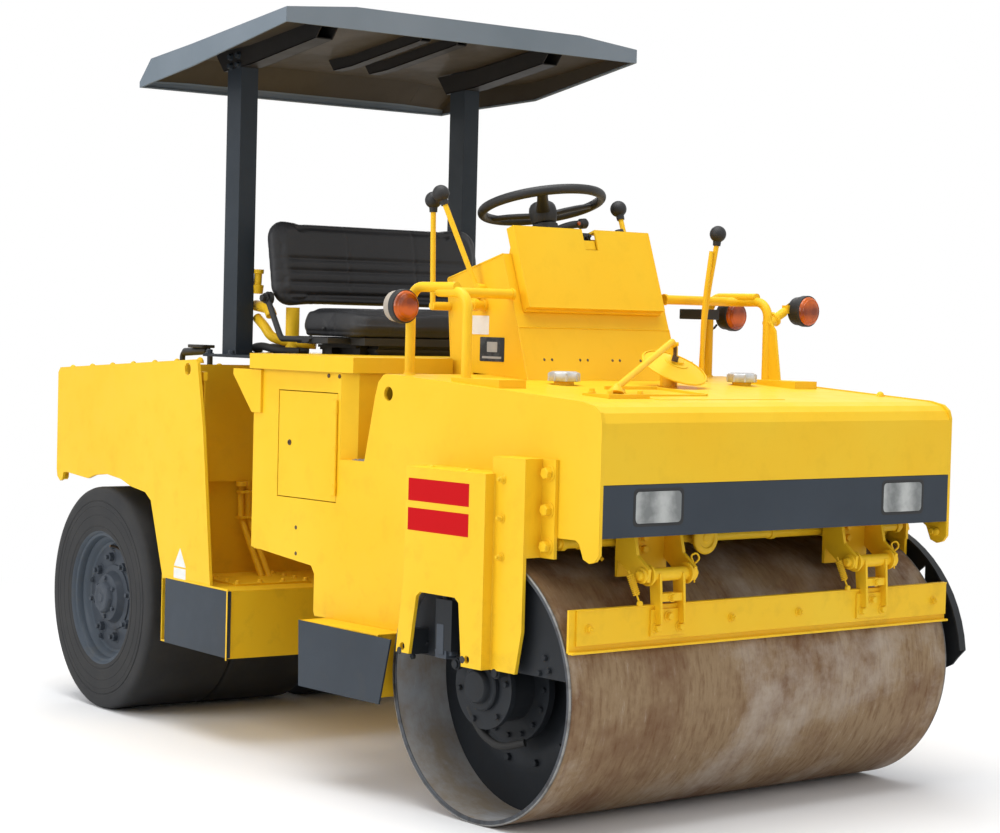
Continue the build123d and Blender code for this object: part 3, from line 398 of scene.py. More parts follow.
@dataclass(frozen=True)
class BareMetal(Finish):
    """Bare metal, cast, plated or turned: dull grey light with tool marks and stains."""

    stain: str  # colour of the oxide in its hollows
    roughness: float = 0.35  # roughness of a clean patch
    staining: float = 0.4  # how much oxide shows, from 0 to 1
    mark: float = 3.0  # width of a tool mark, where real ones are finer

    def skin(self, tree: Tree, place: Socket) -> Node:
        """Metal under blotches of oxide and fine marks."""
        marks = noise(tree, place, self.mark, 4.0)
        amount = spread(tree, noise(tree, place, 25, 6.0), 0.45, 0.7, 0.0, self.staining)
        return surface(
            tree,
            veil(tree, amount, self.colour, self.stain),
            emboss(tree, marks, 0.1, 0.3),
            spread(tree, marks, 0.0, 1.0, self.roughness, self.roughness + 0.25),
            Metallic=0.85,
        )


@dataclass(frozen=True)
class RibbedLens(Finish):
    """Moulded lens with ribs on its inside: clear gloss outside, broken light within."""

    glow: str  # lighter colour where a rib catches light
    rib: float = 6.0  # distance from rib to rib
    along: Point = (0.0, 1.0, 0.0)  # share of the rib pattern along X, Y and Z

    def skin(self, tree: Tree, place: Socket) -> Node:
        """Ribs as waves of colour and relief under a clear coat."""
        turned = put(tree, "Mapping", {"Scale": self.along}, {"Vector": place}).outputs[0]
        waves = {"Scale": per_metre(self.rib) / 20, "Distortion": 0.4}
        ribs = put(tree, "TexWave", waves, {"Vector": turned}, bands_direction="DIAGONAL").outputs["Fac"]
        halved = put(tree, "Math", {1: 0.5}, {0: ribs}, operation="MULTIPLY").outputs[0]
        links = {0: noise(tree, place, 22, 3.0), 2: halved}
        share = put(tree, "Math", {1: 0.5}, links, operation="MULTIPLY_ADD").outputs[0]
        return surface(
            tree,
            shade(tree, share, [(0.25, self.colour), (0.75, self.glow)]),
            emboss(tree, ribs, 0.5, 0.8),
            None,
            Roughness=0.3,
            Coat_Weight=0.35,
            Coat_Roughness=0.05,
            IOR=1.49,
            Specular_IOR_Level=0.25,
        )


# Sprayed over folded plate: warm, saturated yellow with broad soft highlights.
YELLOW = Enamel("enamel_sprayed_yellow", Slot.YELLOW, "#EFBC1A", "#EDC329", "#8A6420", soiling=0.3)
# Sprayed on panels and trays: blue-grey bands, hardly shiny, that set off the yellow.
GREY = Enamel("enamel_sprayed_slate", Slot.GREY, "#2C333B", "#353D46", "#5F584C", 0.42, soiling=0.15)
# Sprayed on square tube: posts darker than the roof they carry.
POST = Enamel("enamel_sprayed_graphite", Slot.GREY, "#242B32", "#2C343C", "#4A463E", 0.42, soiling=0.1)
# Baked on the roof pan: a pale slate, lightened as a painted sheen that stands in for the sky's reflection,
# so it looks pale and even from every side.
ROOF = Enamel("enamel_baked_slate", Slot.GREY, "#6E7880", "#7A838B", "#6A665E", 0.6, soiling=0.1, shine=0.08)
# Painted shade under the roof and on the chassis: a blotched dull brown, darkened to stand in for the shade
# that falls there.
UNDERSIDE = Enamel("enamel_sprayed_umber", Slot.GREY, "#3A342B", "#443D33", "#262119", 0.6, soiling=0.5)
# Painted shade on the roof's channels: nearly black, darkened for the shade under the roof, so they read
# against the sheet.
BEAM_SHADE = Enamel("enamel_brushed_umber", Slot.GREY, "#211F1E", "#2A2724", "#3A342C", 0.55, soiling=0.2)
# Brushed on castings in the drum: oily dark metal, dusty on its ledges.
HUB_PAINT = Enamel("enamel_brushed_dark", Slot.GREY, "#1A1D21", "#22262B", "#2E2A25", 0.5, soiling=0.4)
# Brushed on valves and wheel hubs: a step lighter than what lies behind.
VALVE_PAINT = Enamel("enamel_brushed_slate", Slot.GREY, "#3A4048", "#454B53", "#2E2C2A", 0.5, soiling=0.4)
# Dipped on pressed rims: even slate with road dust low down.
RIM_PAINT = Enamel("enamel_dipped_rim", Slot.GREY, "#3E464F", "#4A535C", "#5A564E", 0.45, soiling=0.5)
# Rolled to a drum and worn on gravel: brown patina, pale dry clouds, streaks the way it rolls.
DRUM_PLATE = RolledPlate("steel_rolled_worn", Slot.DRUM, "#8C7558", "#66452C", "#B0A496")
# Mill scale inside the drum, never worn: matt pale grey that takes the light of the open end.
DRUM_INSIDE = RolledPlate("steel_rolled_scaled", Slot.DRUM, "#9DA0A4", "#8E7F6A", "#B4B6B8", 40.0, metal=0.05)
# End face turned on a lathe: a dark ring between the bright corner and the grey inside.
DRUM_EDGE = BareMetal("steel_turned_edge", Slot.STEEL, "#54575C", "#37322E", 0.45, staining=0.6)
# Corner of the drum as a painted highlight: a thin light line round both ends.
DRUM_CORNER = BareMetal("steel_worn_bright", Slot.STEEL, "#8E8E8C", "#5A5550", 0.45, staining=0.7)
# Smooth tyre rubber from its mould: soft black, greyed in broad patches by dry dust.
TYRE = Moulded("rubber_moulded_tyre", Slot.TYRE, "#1C1D1F", "#454442", 0.6, 2.5, dusting=0.35, patch=120)
# Hose with a braided cover: black without a highlight, and rough close by.
HOSE = Moulded("rubber_braided_hose", Slot.HOSE, "#151617", "#3B3935", 0.55, grain=1.6)
# Black plastic from a textured mould: dark knobs and rims with a small soft shine.
PLASTIC = Moulded("plastic_moulded_black", Slot.PLASTIC, "#1A1B1D", "#45423E", 0.4, 1.5, 0.1, dusting=0.2)
# Vinyl cloth with a pressed leather grain: satin folds that go grey where people slide on and off.
VINYL = Moulded("vinyl_grained_black", Slot.VINYL, "#1D1E21", "#47474A", 0.42, 1.8, 0.25, 0.3, patch=160)
# Rubber sheet cut for the drum's guard: flat black beside the brown steel.
GUARD = Moulded("rubber_sheet_guard", Slot.HOSE, "#14171B", "#23272C", 0.5, dusting=0.3)
# Amber acrylic moulded with ribs: deep orange that brightens where ribs meet the light.
AMBER = RibbedLens("acrylic_moulded_amber", Slot.AMBER, "#7A3002", "#C85E0C", rib=5.0, along=(0.0, 0.0, 1.0))
# Pressed glass with upright ribs over a reflector: silvery and broken, never a clear window.
LAMP_GLASS = RibbedLens("glass_pressed_ribbed", Slot.HEADLAMP, "#747776", "#B4B6B3", rib=8.0)
# Putty-grey plastic, moulded for the lamp's back: a matt light cup behind the amber.
LAMP_BODY = Moulded("plastic_moulded_putty", Slot.STEEL, "#A79D90", "#8A8070", 0.5, dusting=0.3)
# Aluminium cast for the filler caps: cool dull silver with grey in its corners.
ALLOY = BareMetal("aluminium_cast_cap", Slot.STEEL, "#C3C6C8", "#8C8F90", 0.4, staining=0.5)
# Iron cast in sand: grey-brown and rough, with hardly a highlight.
CAST = BareMetal("iron_cast_block", Slot.CAST, "#4A4A4A", "#2E2620", 0.6)
# Rod ground and plated with chromium: the one clean mirror on the machine.
CHROME = BareMetal("steel_ground_rod", Slot.STEEL, "#C8C9CA", "#8F8B84", 0.22, staining=0.2)
# Plate pressed with dimples for boots: scuffed grey with bright tops.
GRIP = BareMetal("steel_dimpled_plate", Slot.STEEL, "#8E9194", "#5E5A54", 0.45, staining=0.5)
# Cut studs left unpainted: small brown points of rust.
BOLT = BareMetal("steel_rusted_stud", Slot.CAST, "#6A5B4C", "#3E2A1C", 0.5, staining=0.8)
# Red film printed and stuck on: one flat strong red, duller than the enamel around it.
RED = Moulded("film_printed_red", Slot.AMBER, "#BE0B12", "#C6242A", 0.45, 1.2, 0.05, 0.1, shine=0.08)
# White printed film: a clean light patch, a little chalky.
LABEL = Moulded("film_printed_white", Slot.STEEL, "#E4E5E3", "#C3C2BC", 0.4, 1.2, 0.03, 0.3, patch=30)
# Silver printed fields on the dark plate: they read as grey print without any words.
PLATE_FIELD = Moulded("film_printed_silver", Slot.STEEL, "#9DA0A2", "#7E8082", 0.4, 1.2, 0.03, patch=30)
# Aluminium plate etched and dyed: a dark tile with a metal sheen.
PLATE = BareMetal("aluminium_etched_plate", Slot.CAST, "#34383D", "#6A6D70", 0.4, staining=0.5)


# ---------------------------------------------------------------- mesh making
def square_to(axis: Vector) -> tuple[Vector, Vector]:
    """Two unit vectors square to an axis and to each other."""
    along = axis.normalized()
    helper = Vector((0, 0, 1)) if abs(along.z) < 0.9 else Vector((1, 0, 0))
    first = helper.cross(along).normalized()
    return first, along.cross(first)


def bent(path: Sequence[Place], bend: float, steps: int = 7) -> list[Vector]:
    """Round the corners of a bar's centre line.

    Args:
        path: Corner points.
        bend: How far from a corner its curve starts.
        steps: Points in each curve, less one.

    Returns:
        The points of the rounded line.
    """
    points = [Vector(p) for p in path]
    line = [points[0]]
    for before, corner, after in zip(points, points[1:], points[2:]):
        back, on = before - corner, after - corner
        reach = min(bend, back.length * 0.49, on.length * 0.49)
        start, end = corner + back.normalized() * reach, corner + on.normalized() * reach
        for step in range(steps + 1):
            t = step / steps
            line.append(start * (1 - t) ** 2 + corner * (2 * t * (1 - t)) + end * t * t)
    line.append(points[-1])
    return line


def laid(outline: Sequence[Flat], lay: Lay, depth: float) -> list[Point]:
    """Place a flat outline at one depth of its lay."""
    if lay is Lay.SIDE:
        return [(a, depth, b) for a, b in outline]
    if lay is Lay.PLAN:
        return [(a, b, depth) for a, b in outline]
    return [(depth, a, b) for a, b in outline]


def arc(centre: Flat, radius: float, start: float, end: float, steps: int) -> list[Flat]:
    """Points along an arc, from one angle in degrees to another."""
    turns = [math.radians(start + (end - start) * i / steps) for i in range(steps + 1)]
    return [(centre[0] + radius * math.cos(t), centre[1] + radius * math.sin(t)) for t in turns]


def rounded(a0: float, a1: float, b0: float, b1: float, radius: float, steps: int = 5) -> list[Flat]:
    """A rectangle's outline with rounded corners."""
    left, right, low, high = a0 + radius, a1 - radius, b0 + radius, b1 - radius
    corners = [(right, high, 0), (left, high, 90), (left, low, 180), (right, low, 270)]
    return [p for a, b, turn in corners for p in arc((a, b), radius, turn, turn + 90, steps)]


def plaque(middle: Flat, reach: float, rise: float, radius: float, steps: int = 5) -> list[Flat]:
    """A rounded rectangle about its middle, by its half width and half height."""
    a, b = middle
    return rounded(a - reach, a + reach, b - rise, b + rise, radius, steps)


def corners_of(a: Flat, b: Flat) -> list[Flat]:
    """A square-cornered rectangle's outline, from two ranges."""
    return [(a[0], b[0]), (a[1], b[0]), (a[1], b[1]), (a[0], b[1])]


def drum_offset() -> Vector:
    """How far the frame's drum lies from the drawn one, in millimetres."""
    for joint in frame["record"]["behaviour"]["joints"]:
        if joint["name"] == "drum_spin":
            return Vector((joint["pos_m"][0] * METRE - DRUM_X, joint["pos_m"][1] * METRE, 0.0))
    raise LookupError("drum_spin")


AWAY = drum_offset()
TO_PIVOT = Matrix.Translation((PIVOT_X, 0, 0))
SWING = TO_PIVOT @ Matrix.Rotation(math.radians(STEER), 4, "Z") @ TO_PIVOT.inverted()


def parked(body: Body) -> Matrix:
    """How a body's pieces move from where they are drawn to where the machine stands, in millimetres."""
    away = Matrix.Translation(AWAY)
    return away @ SWING if body in TURNED else away


class Stock:
    """A mesh being made, in millimetres, before it becomes a piece."""

    def __init__(self) -> None:
        """Start with nothing."""
        self.mesh = bmesh.new()

    def skin(self, rings: Sequence[Sequence[Place]], looped: bool = False) -> "Stock":
        """Join rings of points into a surface, and close its open ends.

        Args:
            rings: Rings with equal counts, or single points for a pole.
            looped: Whether the last ring joins the first.

        Returns:
            The stock itself.
        """
        rows = [[self.mesh.verts.new(p) for p in ring] for ring in rings]
        pairs = list(zip(rows, rows[1:])) + ([(rows[-1], rows[0])] if looped else [])
        for low, high in pairs:
            count = max(len(low), len(high))
            for i in range(count):
                j = (i + 1) % count
                corners = [low[i % len(low)], low[j % len(low)], high[j % len(high)], high[i % len(high)]]
                self.mesh.faces.new(list(dict.fromkeys(corners)))
        if not looped:
            for row in (rows[0][::-1], rows[-1]):
                if len(row) > 2:
                    self.mesh.faces.new(row)
        return self

    def slab(self, outline: Sequence[Flat], lay: Lay, low: float, high: float) -> "Stock":
        """Give a flat outline thickness."""
        return self.skin([laid(outline, lay, low), laid(outline, lay, high)])

    def box(self, x: Flat, y: Flat, z: Flat) -> "Stock":
        """A square block between two corners."""
        return self.slab(corners_of(x, y), Lay.PLAN, *z)

    def turn(
        self,
        profile: Sequence[Flat],
        base: Place,
        axis: Place,
        sides: int = 48,
        looped: bool = False,
        spin: float = 0.0,
    ) -> "Stock":
        """Turn a profile about an axis.

        Args:
            profile: Distance along the axis and radius, in order.
            base: Where distances start.
            axis: Direction of the axis.
            sides: Points round the axis.
            looped: Whether the profile closes on itself, as a ring's does.
            spin: Turn of the first point, in degrees.

        Returns:
            The stock itself.
        """
        foot, along = Vector(base), Vector(axis).normalized()
        first, second = square_to(along)
        rings = []
        for distance, radius in profile:
            middle = foot + along * distance
            if radius < 1e-6:
                rings.append([middle])
                continue
            angles = [math.radians(spin) + math.tau * i / sides for i in range(sides)]
            rings.append([middle + (first * math.cos(a) + second * math.sin(a)) * radius for a in angles])
        return self.skin(rings, looped)

    def tube(self, path: Sequence[Place], radius: float, bend: float = 0.0, sides: int = 16) -> "Stock":
        """A round bar along a line with bent corners."""
        line = bent(path, bend) if bend else [Vector(p) for p in path]
        rings = []
        side = square_to(line[1] - line[0])[0]
        for i, point in enumerate(line):
            ahead = line[min(i + 1, len(line) - 1)] - line[max(i - 1, 0)]
            along = ahead.normalized()
            side = (side - along * side.dot(along)).normalized()
            other = along.cross(side)
            angles = [math.tau * k / sides for k in range(sides)]
            rings.append([point + (side * math.cos(a) + other * math.sin(a)) * radius for a in angles])
        return self.skin(rings)

    def bolt(self, place: Place, out: Place, across: float, washer: bool = True, stud: float = 0) -> "Stock":
        """A hexagon bolt's head, or a nut on its stud, seated on a face.

        Args:
            place: Middle of the seat.
            out: Direction away from the face.
            across: Size over the flats.
            washer: Whether a washer lies under it.
            stud: Length of thread beyond it.

        Returns:
            The stock itself.
        """
        corner = across / math.sqrt(3)
        seat = 2.5 if washer else 0.0
        if washer:
            self.turn([(-1, across * 0.8), (seat - 0.5, across * 0.8), (seat, across * 0.78)], place, out, 28)
        top = seat + across * 0.62
        self.turn([(seat - 0.5, corner), (top - 1.6, corner), (top, corner * 0.86)], place, out, 6, spin=15)
        if stud:
            pitch = 2.0
            thread = [(top - 1, across * 0.3)]
            for i in range(int(stud / pitch)):
                foot = top + i * pitch
                thread += [(foot + 0.5, across * 0.31), (foot + pitch / 2, across * 0.27)]
            self.turn([*thread, (top + stud, across * 0.24)], place, out, 16)
        return self

    def dome(
        self, place: Place, out: Place, radius: float, rise: float, steps: int = 5, sides: int = 20
    ) -> "Stock":
        """A low domed head seated on a face."""
        profile = [(-1.0, radius)]
        for i in range(steps + 1):
            t = math.pi / 2 * i / steps
            profile.append((rise * math.sin(t), radius * math.cos(t)))
        return self.turn(profile, place, out, sides)

    def piece(
        self,
        name: str,
        finish: Finish,
        edge: float = 0.0,
        body: Body = Body.FRONT,
        replaces: Sequence[str] = (),
        sharp: float = 38.0,
        slot: Slot | None = None,
    ) -> bpy.types.Object:
        """Turn the stock into a piece that rides on a body.

        Args:
            name: The piece's name.
            finish: Its finish.
            edge: Width of the bevel along its sharp edges.
            body: The CAD body it rides on.
            replaces: CAD nodes it stands for.
            sharp: Angle in degrees above which an edge stays sharp.
            slot: The record's slot, where it isn't the finish's own; not used.

        Returns:
            The piece's object.
        """
        bmesh.ops.recalc_face_normals(self.mesh, faces=self.mesh.faces)
        bmesh.ops.transform(self.mesh, matrix=parked(body), verts=self.mesh.verts)
        bmesh.ops.scale(self.mesh, vec=(1 / METRE,) * 3, verts=self.mesh.verts)
        data = bpy.data.meshes.new(name)
        self.mesh.to_mesh(data)
        self.mesh.free()
        data.polygons.foreach_set("use_smooth", [True] * len(data.polygons))
        data.set_sharp_from_angle(angle=math.radians(sharp))
        data.materials.append(finish.material())
        made = bpy.data.objects.new(name, data)
        bpy.context.scene.collection.objects.link(made)
        if edge:
            bevel = made.modifiers.new("edge", "BEVEL")
            bevel.width = edge / METRE
            bevel.segments = 2
            bevel.limit_method = "ANGLE"
            bevel.angle_limit = math.radians(sharp)
            bevel.harden_normals = True
        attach(made, body.value)
        if replaces:
            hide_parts(*replaces)
        return made


def ring_of(centre: Point, radius: float, count: int, start: float = 0.0) -> list[Point]:
    """Places of bolts round an axis that runs across the machine."""
    x, y, z = centre
    turns = [math.radians(start) + math.tau * i / count for i in range(count)]
    return [(x + radius * math.cos(t), y, z + radius * math.sin(t)) for t in turns]


def paint(finish: Finish, *names: str) -> None:
    """Give CAD nodes a finish."""
    for name in names:
        data = frame["nodes"][name].data
        data.materials.clear()
        data.materials.append(finish.material())


def spot(node: str) -> tuple[Vector, Vector]:
    """A front node's lowest and highest corners where it is drawn, in millimetres."""
    low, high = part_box(node)
    return low * METRE - AWAY, high * METRE - AWAY


class Assembly:
    """A sub-assembly of the machine."""

    def build(self) -> None:
        """Paint its CAD nodes and make its pieces."""
        raise NotImplementedError


# ---------------------------------------------------------------- front frame
@dataclass
class FrontShell(Assembly):
    """Side plates, hood, fascia and lamps of the drum frame."""

    fascia: float = 1363.0  # front face of the nose
    hood: Quad = (550.0, 1121.0, 1290.0, 1080.0)  # X and Z of the hood's rear break, then of its front one
    # Y and Z of a lamp's middle, and half its recess's width and height
    lamp: Quad = (454.0, 824.0, 75.0, 45.0)
    # X from and to, Y from and to, and rise of each bar round the hood's hatch
    bars: tuple[tuple[float, ...], ...] = (
        (1120.0, 1126.0, -470.0, -60.0, 5.0),
        (930.0, 1126.0, -64.0, -58.0, 7.0),
        (930.0, 936.0, -250.0, -58.0, 9.0),
        (1190.0, 1226.0, -330.0, 130.0, 1.6),
    )
    rest: Flat = (1122.0, 628.0)  # X and Y of the domed stop beside the hatch
    pin: Flat = (1046.0, 735.0)  # X and Z of the pin inside each nose plate
    corner: Flat = (1318.0, 722.0)  # X and Z of the bolt at each nose plate's corner

    def top(self, x: float) -> float:
        """Height inside the hood's sheet at a station, 3 mm below its upper face."""
        x0, z0, x1, z1 = self.hood
        return z0 + (x - x0) * (z1 - z0) / (x1 - x0) - 3.0

    def build(self) -> None:
        """Paint the plates and hood, and add lamps, hatch bars, pins and the spray tube."""
        paint(YELLOW, "front_side_plates", "hood_shell", "seat_box", "deck")
        paint(GREY, "fascia_band")
        # the chassis takes the dark umber as painted shade
        paint(UNDERSIDE, "chassis")
        paint(CAST, "pivot_pin")
        self.lamps()
        self.hatch()
        self.pins()
        SprayTube().build()

    def lamps(self) -> None:
        """Ribbed lenses in dark bezels, on blocks behind the fascia."""
        y, z, wide, tall = self.lamp
        face = self.fascia
        stand = Stock()
        for side in Side:
            middle = side.y(y)
            outer = plaque((middle, z), wide + 11, tall + 2, 14)
            inner = plaque((middle, z), wide + 3, tall - 5, 14)
            rows = [(outer, -1), (outer, 0.5), (inner, 0.5), (inner, -1)]
            bezel = Stock()
            bezel.skin([laid(outline, Lay.FRONT, face + out) for outline, out in rows], looped=True)
            back = (middle - wide - 5, middle + wide + 5)
            bezel.box((face - 60, face - 8), back, (z - tall - 5, z + tall + 5))
            bezel.piece(f"headlight_bezel_{side.word}", PLASTIC, 0.8)
            lens = Stock()
            rings = []
            for inset, out in ((0, -2), (0, 0.1), (3, 0.3), (22, 0.5)):
                outline = plaque((middle, z), wide + 2 - inset, tall - 6 - inset, 12)
                rings.append(laid(outline, Lay.FRONT, face + out))
            lens.skin(rings)
            lens.piece(f"headlight_lens_{side.word}", LAMP_GLASS, sharp=30)
            stand.box((face - 75, face - 60), (middle - 60, middle + 60), (z - 30, z + 30))
        stand.piece("headlight_pods", CAST, 1.0, slot=Slot.HEADLAMP, replaces=["headlights"])

    def hatch(self) -> None:
        """Bars round the hood's hatch, and the stop beside it."""
        seam = Stock()
        for x0, x1, y0, y1, rise in self.bars:
            low, high = self.top(x0), self.top(x1)
            seam.slab([(x0, low - 3), (x1, high - 3), (x1, high + rise), (x0, low + rise)], Lay.SIDE, y0, y1)
        x, y = self.rest
        seam.dome((x, y, self.top(x) + 1), UP, 11, 12)
        seam.piece("hood_hatch_bars", YELLOW, 1.0)

    def pins(self) -> None:
        """Pins and corner bolts on the inner faces of the nose plates."""
        pins = Stock()
        (px, pz), (cx, cz) = self.pin, self.corner
        for side in Side:
            inward = (0, -side.value, 0)
            pins.tube([(px, side.y(HALF - 10), pz), (px, side.y(HALF - 26), pz)], 6)
            pins.dome((cx + 12, side.y(HALF - 12), cz), inward, 11, 8)
            pins.bolt((cx, side.y(HALF - 10), cz), inward, 16)
        pins.piece("nose_pins", YELLOW)


@dataclass
class SprayTube(Assembly):
    """Water tube above the drum, with its threaded cap, collars, clips and two nozzle bends."""

    x: float = 1196.0  # station of the tube
    z: float = 727.0  # its height
    radius: float = 14.0  # its radius
    cap: float = -165.0  # Y of the cap on its front
    clips: tuple[float, ...] = (-560.0, -300.0, 120.0, 330.0, 560.0)  # Y of each clip
    nozzles: Flat = (500.0, -500.0)  # Y of each nozzle bend

    def build(self) -> None:
        """Turn the cap and the tube, and clip the tube to the nose."""
        low, high = spot("spray_tube")
        x, z, r = self.x, self.z, self.radius
        cap = Stock()
        flange = [(-44, 20), (-6, 20), (-4, 42), (4, 43), (6, 41), (8, 37)]
        hollow = [(8, 27), (5, 25), (5, 13), (7.5, 11), (7.5, 0)]
        cap.turn(flange + hollow, (high.x - 3, self.cap, z), FORWARD, 48)
        cap.piece("spray_tube_cap", YELLOW, 0.6)
        bar = Stock().tube([(x, low.y + 1, z), (x, high.y - 1, z)], r, sides=28)
        for end in (low.y + 10, high.y - 24):
            bar.turn([(0, r), (0, r + 5), (14, r + 5), (14, r)], (x, end, z), ACROSS, 28, looped=True)
        bar.piece("spray_tube_bar", YELLOW, replaces=["spray_tube"])
        clips = Stock()
        for y in self.clips:
            clips.turn([(-9, r), (-9, r + 3.5), (9, r + 3.5), (9, r)], (x, y, z), ACROSS, 24)
            clips.box((x - 4, x + 4), (y - 8, y + 8), (z + 16, z + 25))
        for y in self.nozzles:
            clips.tube([(x, y, z - 13), (x, y, z - 32), (x + 18, y, z - 44)], 5, 8)
        clips.piece("spray_tube_clips", YELLOW, 0.5)


@dataclass
class SeatBox(Assembly):
    """Doors, deck rim and toe plates round the box under the seat."""

    lock: Flat = (68.0, 915.0)  # X and Z of a door's lock
    hinge: float = 293.0  # X of a door's hinge
    knuckles: Point = (800.0, 905.0, 1005.0)  # foot of each hinge knuckle
    toe: Point = (346.0, 402.0, 881.0)  # X from and to, and height of the plate that a boot stands on
    inner: float = 560.0  # inner edge of that plate
    screws: tuple[Flat, ...] = ((108.0, 678.0), (110.0, 605.0))  # X and Z of the screws below a door
    rim: Flat = (250.0, 300.0)  # X of the screws under the deck's rim

    def build(self) -> None:
        """Paint the doors, and add locks, hinge knuckles, grip plates and screws."""
        paint(YELLOW, "box_door_left", "box_door_right")
        self.door(Side.LEFT, Body.LEFT_DOOR)
        self.door(Side.RIGHT, Body.RIGHT_DOOR)
        self.grips()
        self.small_screws()

    def door(self, side: Side, body: Body) -> None:
        """A keyed lock and three hinge knuckles on one door."""
        x, z = self.lock
        lock = Stock()
        lock.turn([(0, 8), (2, 8), (3, 7), (3, 3.5), (1, 3), (1, 0)], (x, side.y(HALF - 1), z), side.out, 28)
        lock.piece(f"door_lock_{side.word}", BOLT, 0.3, body=body)
        knuckles = Stock()
        for foot in self.knuckles:
            knuckles.turn([(0, 5.2), (16, 5.2)], (self.hinge, side.y(HALF + 4.3), foot), UP, 14)
            knuckles.dome((self.hinge - 13, side.y(HALF + 2), foot + 8), side.out, 4, 2.2)
        knuckles.piece(f"door_hinge_{side.word}", YELLOW, 0.3, body=body)

    def grips(self) -> None:
        """Plates with rows of pressed dimples where a boot stands."""
        x0, x1, z = self.toe
        grip = Stock()
        for side in Side:
            across = side.span(self.inner, HALF - 14)
            grip.box((x0, x1), across, (z - 0.5, z + 2))
            for row in range(4):
                for column in range(5):
                    place = (x0 + 6 + row * 14, across[0] + 8 + column * 15, z + 2)
                    grip.dome(place, UP, 3.4, 2.0, 3, 8)
        grip.piece("toe_grip_plates", GRIP, 0.3)

    def small_screws(self) -> None:
        """Small screws below the doors, and hexagon screws under the deck's rim."""
        screws = Stock()
        for side in Side:
            for x, z in self.screws:
                screws.dome((x, side.y(HALF - 0.5), z), side.out, 6.0, 2.6)
            for x in self.rim:
                screws.bolt((x, side.y(HALF - 4), 1108), side.out, 11, washer=False)
        screws.piece("box_screws", BOLT)


@dataclass
class DrumLegs(Assembly):
    """Bolt-on legs outside the drum, their bolts, stripes and steps."""

    out: float = 745.0  # outer face of a leg
    flange: float = 715.0  # outer face of a leg's flange
    foot: float = 660.0  # outer face of the bolted angle
    studs: Quad = (1078.0, 879.0, 783.0, 686.0)  # X of the studs on the flange, and their heights
    bolts: Quad = (1188.0, 900.0, 810.0, 720.0)  # X of the bolts on the angle, and their heights
    caps: Flat = (775.0, 920.0)  # X of the two domed screws on a leg's top
    stripes: Flat = (738.0, 984.0)  # X from and to of the red films
    heights: tuple[Flat, ...] = ((804.0, 862.0), (728.0, 786.0))  # lower and upper edge of each film
    holes: tuple[Flat, ...] = ((715.0, 412.0), (972.0, 420.0))  # X and Z of a leg's tow holes

    def build(self) -> None:
        """Paint the legs, and add their bolts, films, holes and welds."""
        paint(YELLOW, "drum_legs", "front_step_trays")
        paint(GREY, "front_step_panels")
        paint(GUARD, "drum_guard")
        heads, threads, film, holes, bead = (Stock() for _ in range(5))
        for side in Side:
            stud_x, *stud_heights = self.studs
            for z in stud_heights:
                threads.bolt((stud_x, side.y(self.flange), z), side.out, 15, stud=7)
            bolt_x, *bolt_heights = self.bolts
            for z in bolt_heights:
                heads.bolt((bolt_x, side.y(self.foot), z), side.out, 26)
            for x in self.caps:
                heads.dome((x, side.y(700), 890), UP, 9, 6)
            for edges in self.heights:
                outline = corners_of(self.stripes, edges)
                film.slab(outline, Lay.SIDE, *side.span(self.out - 0.4, self.out + 0.2))
            for x, z in self.holes:
                rolled = [(-1, 9.5), (0.2, 9.5), (0.3, 8), (0.1, 6.5), (0.1, 0)]
                holes.turn(rolled, (x, side.y(self.out), z), side.out, 24)
            y = side.y(self.flange - 1)
            bead.tube([(DRUM_X + 66, y, 410), (DRUM_X + 66, y, 884)], 3.0, sides=8)
            y = side.y(HALF + 1)
            bead.tube([(DRUM_X - 250, y, 889), (DRUM_X + 60, y, 889)], 3.0, sides=8)
        heads.piece("leg_bolts", YELLOW, 0.4)
        threads.piece("leg_studs", YELLOW)
        film.piece("leg_stripes", RED)
        holes.piece("leg_tow_holes", CAST)
        bead.piece("leg_welds", YELLOW)


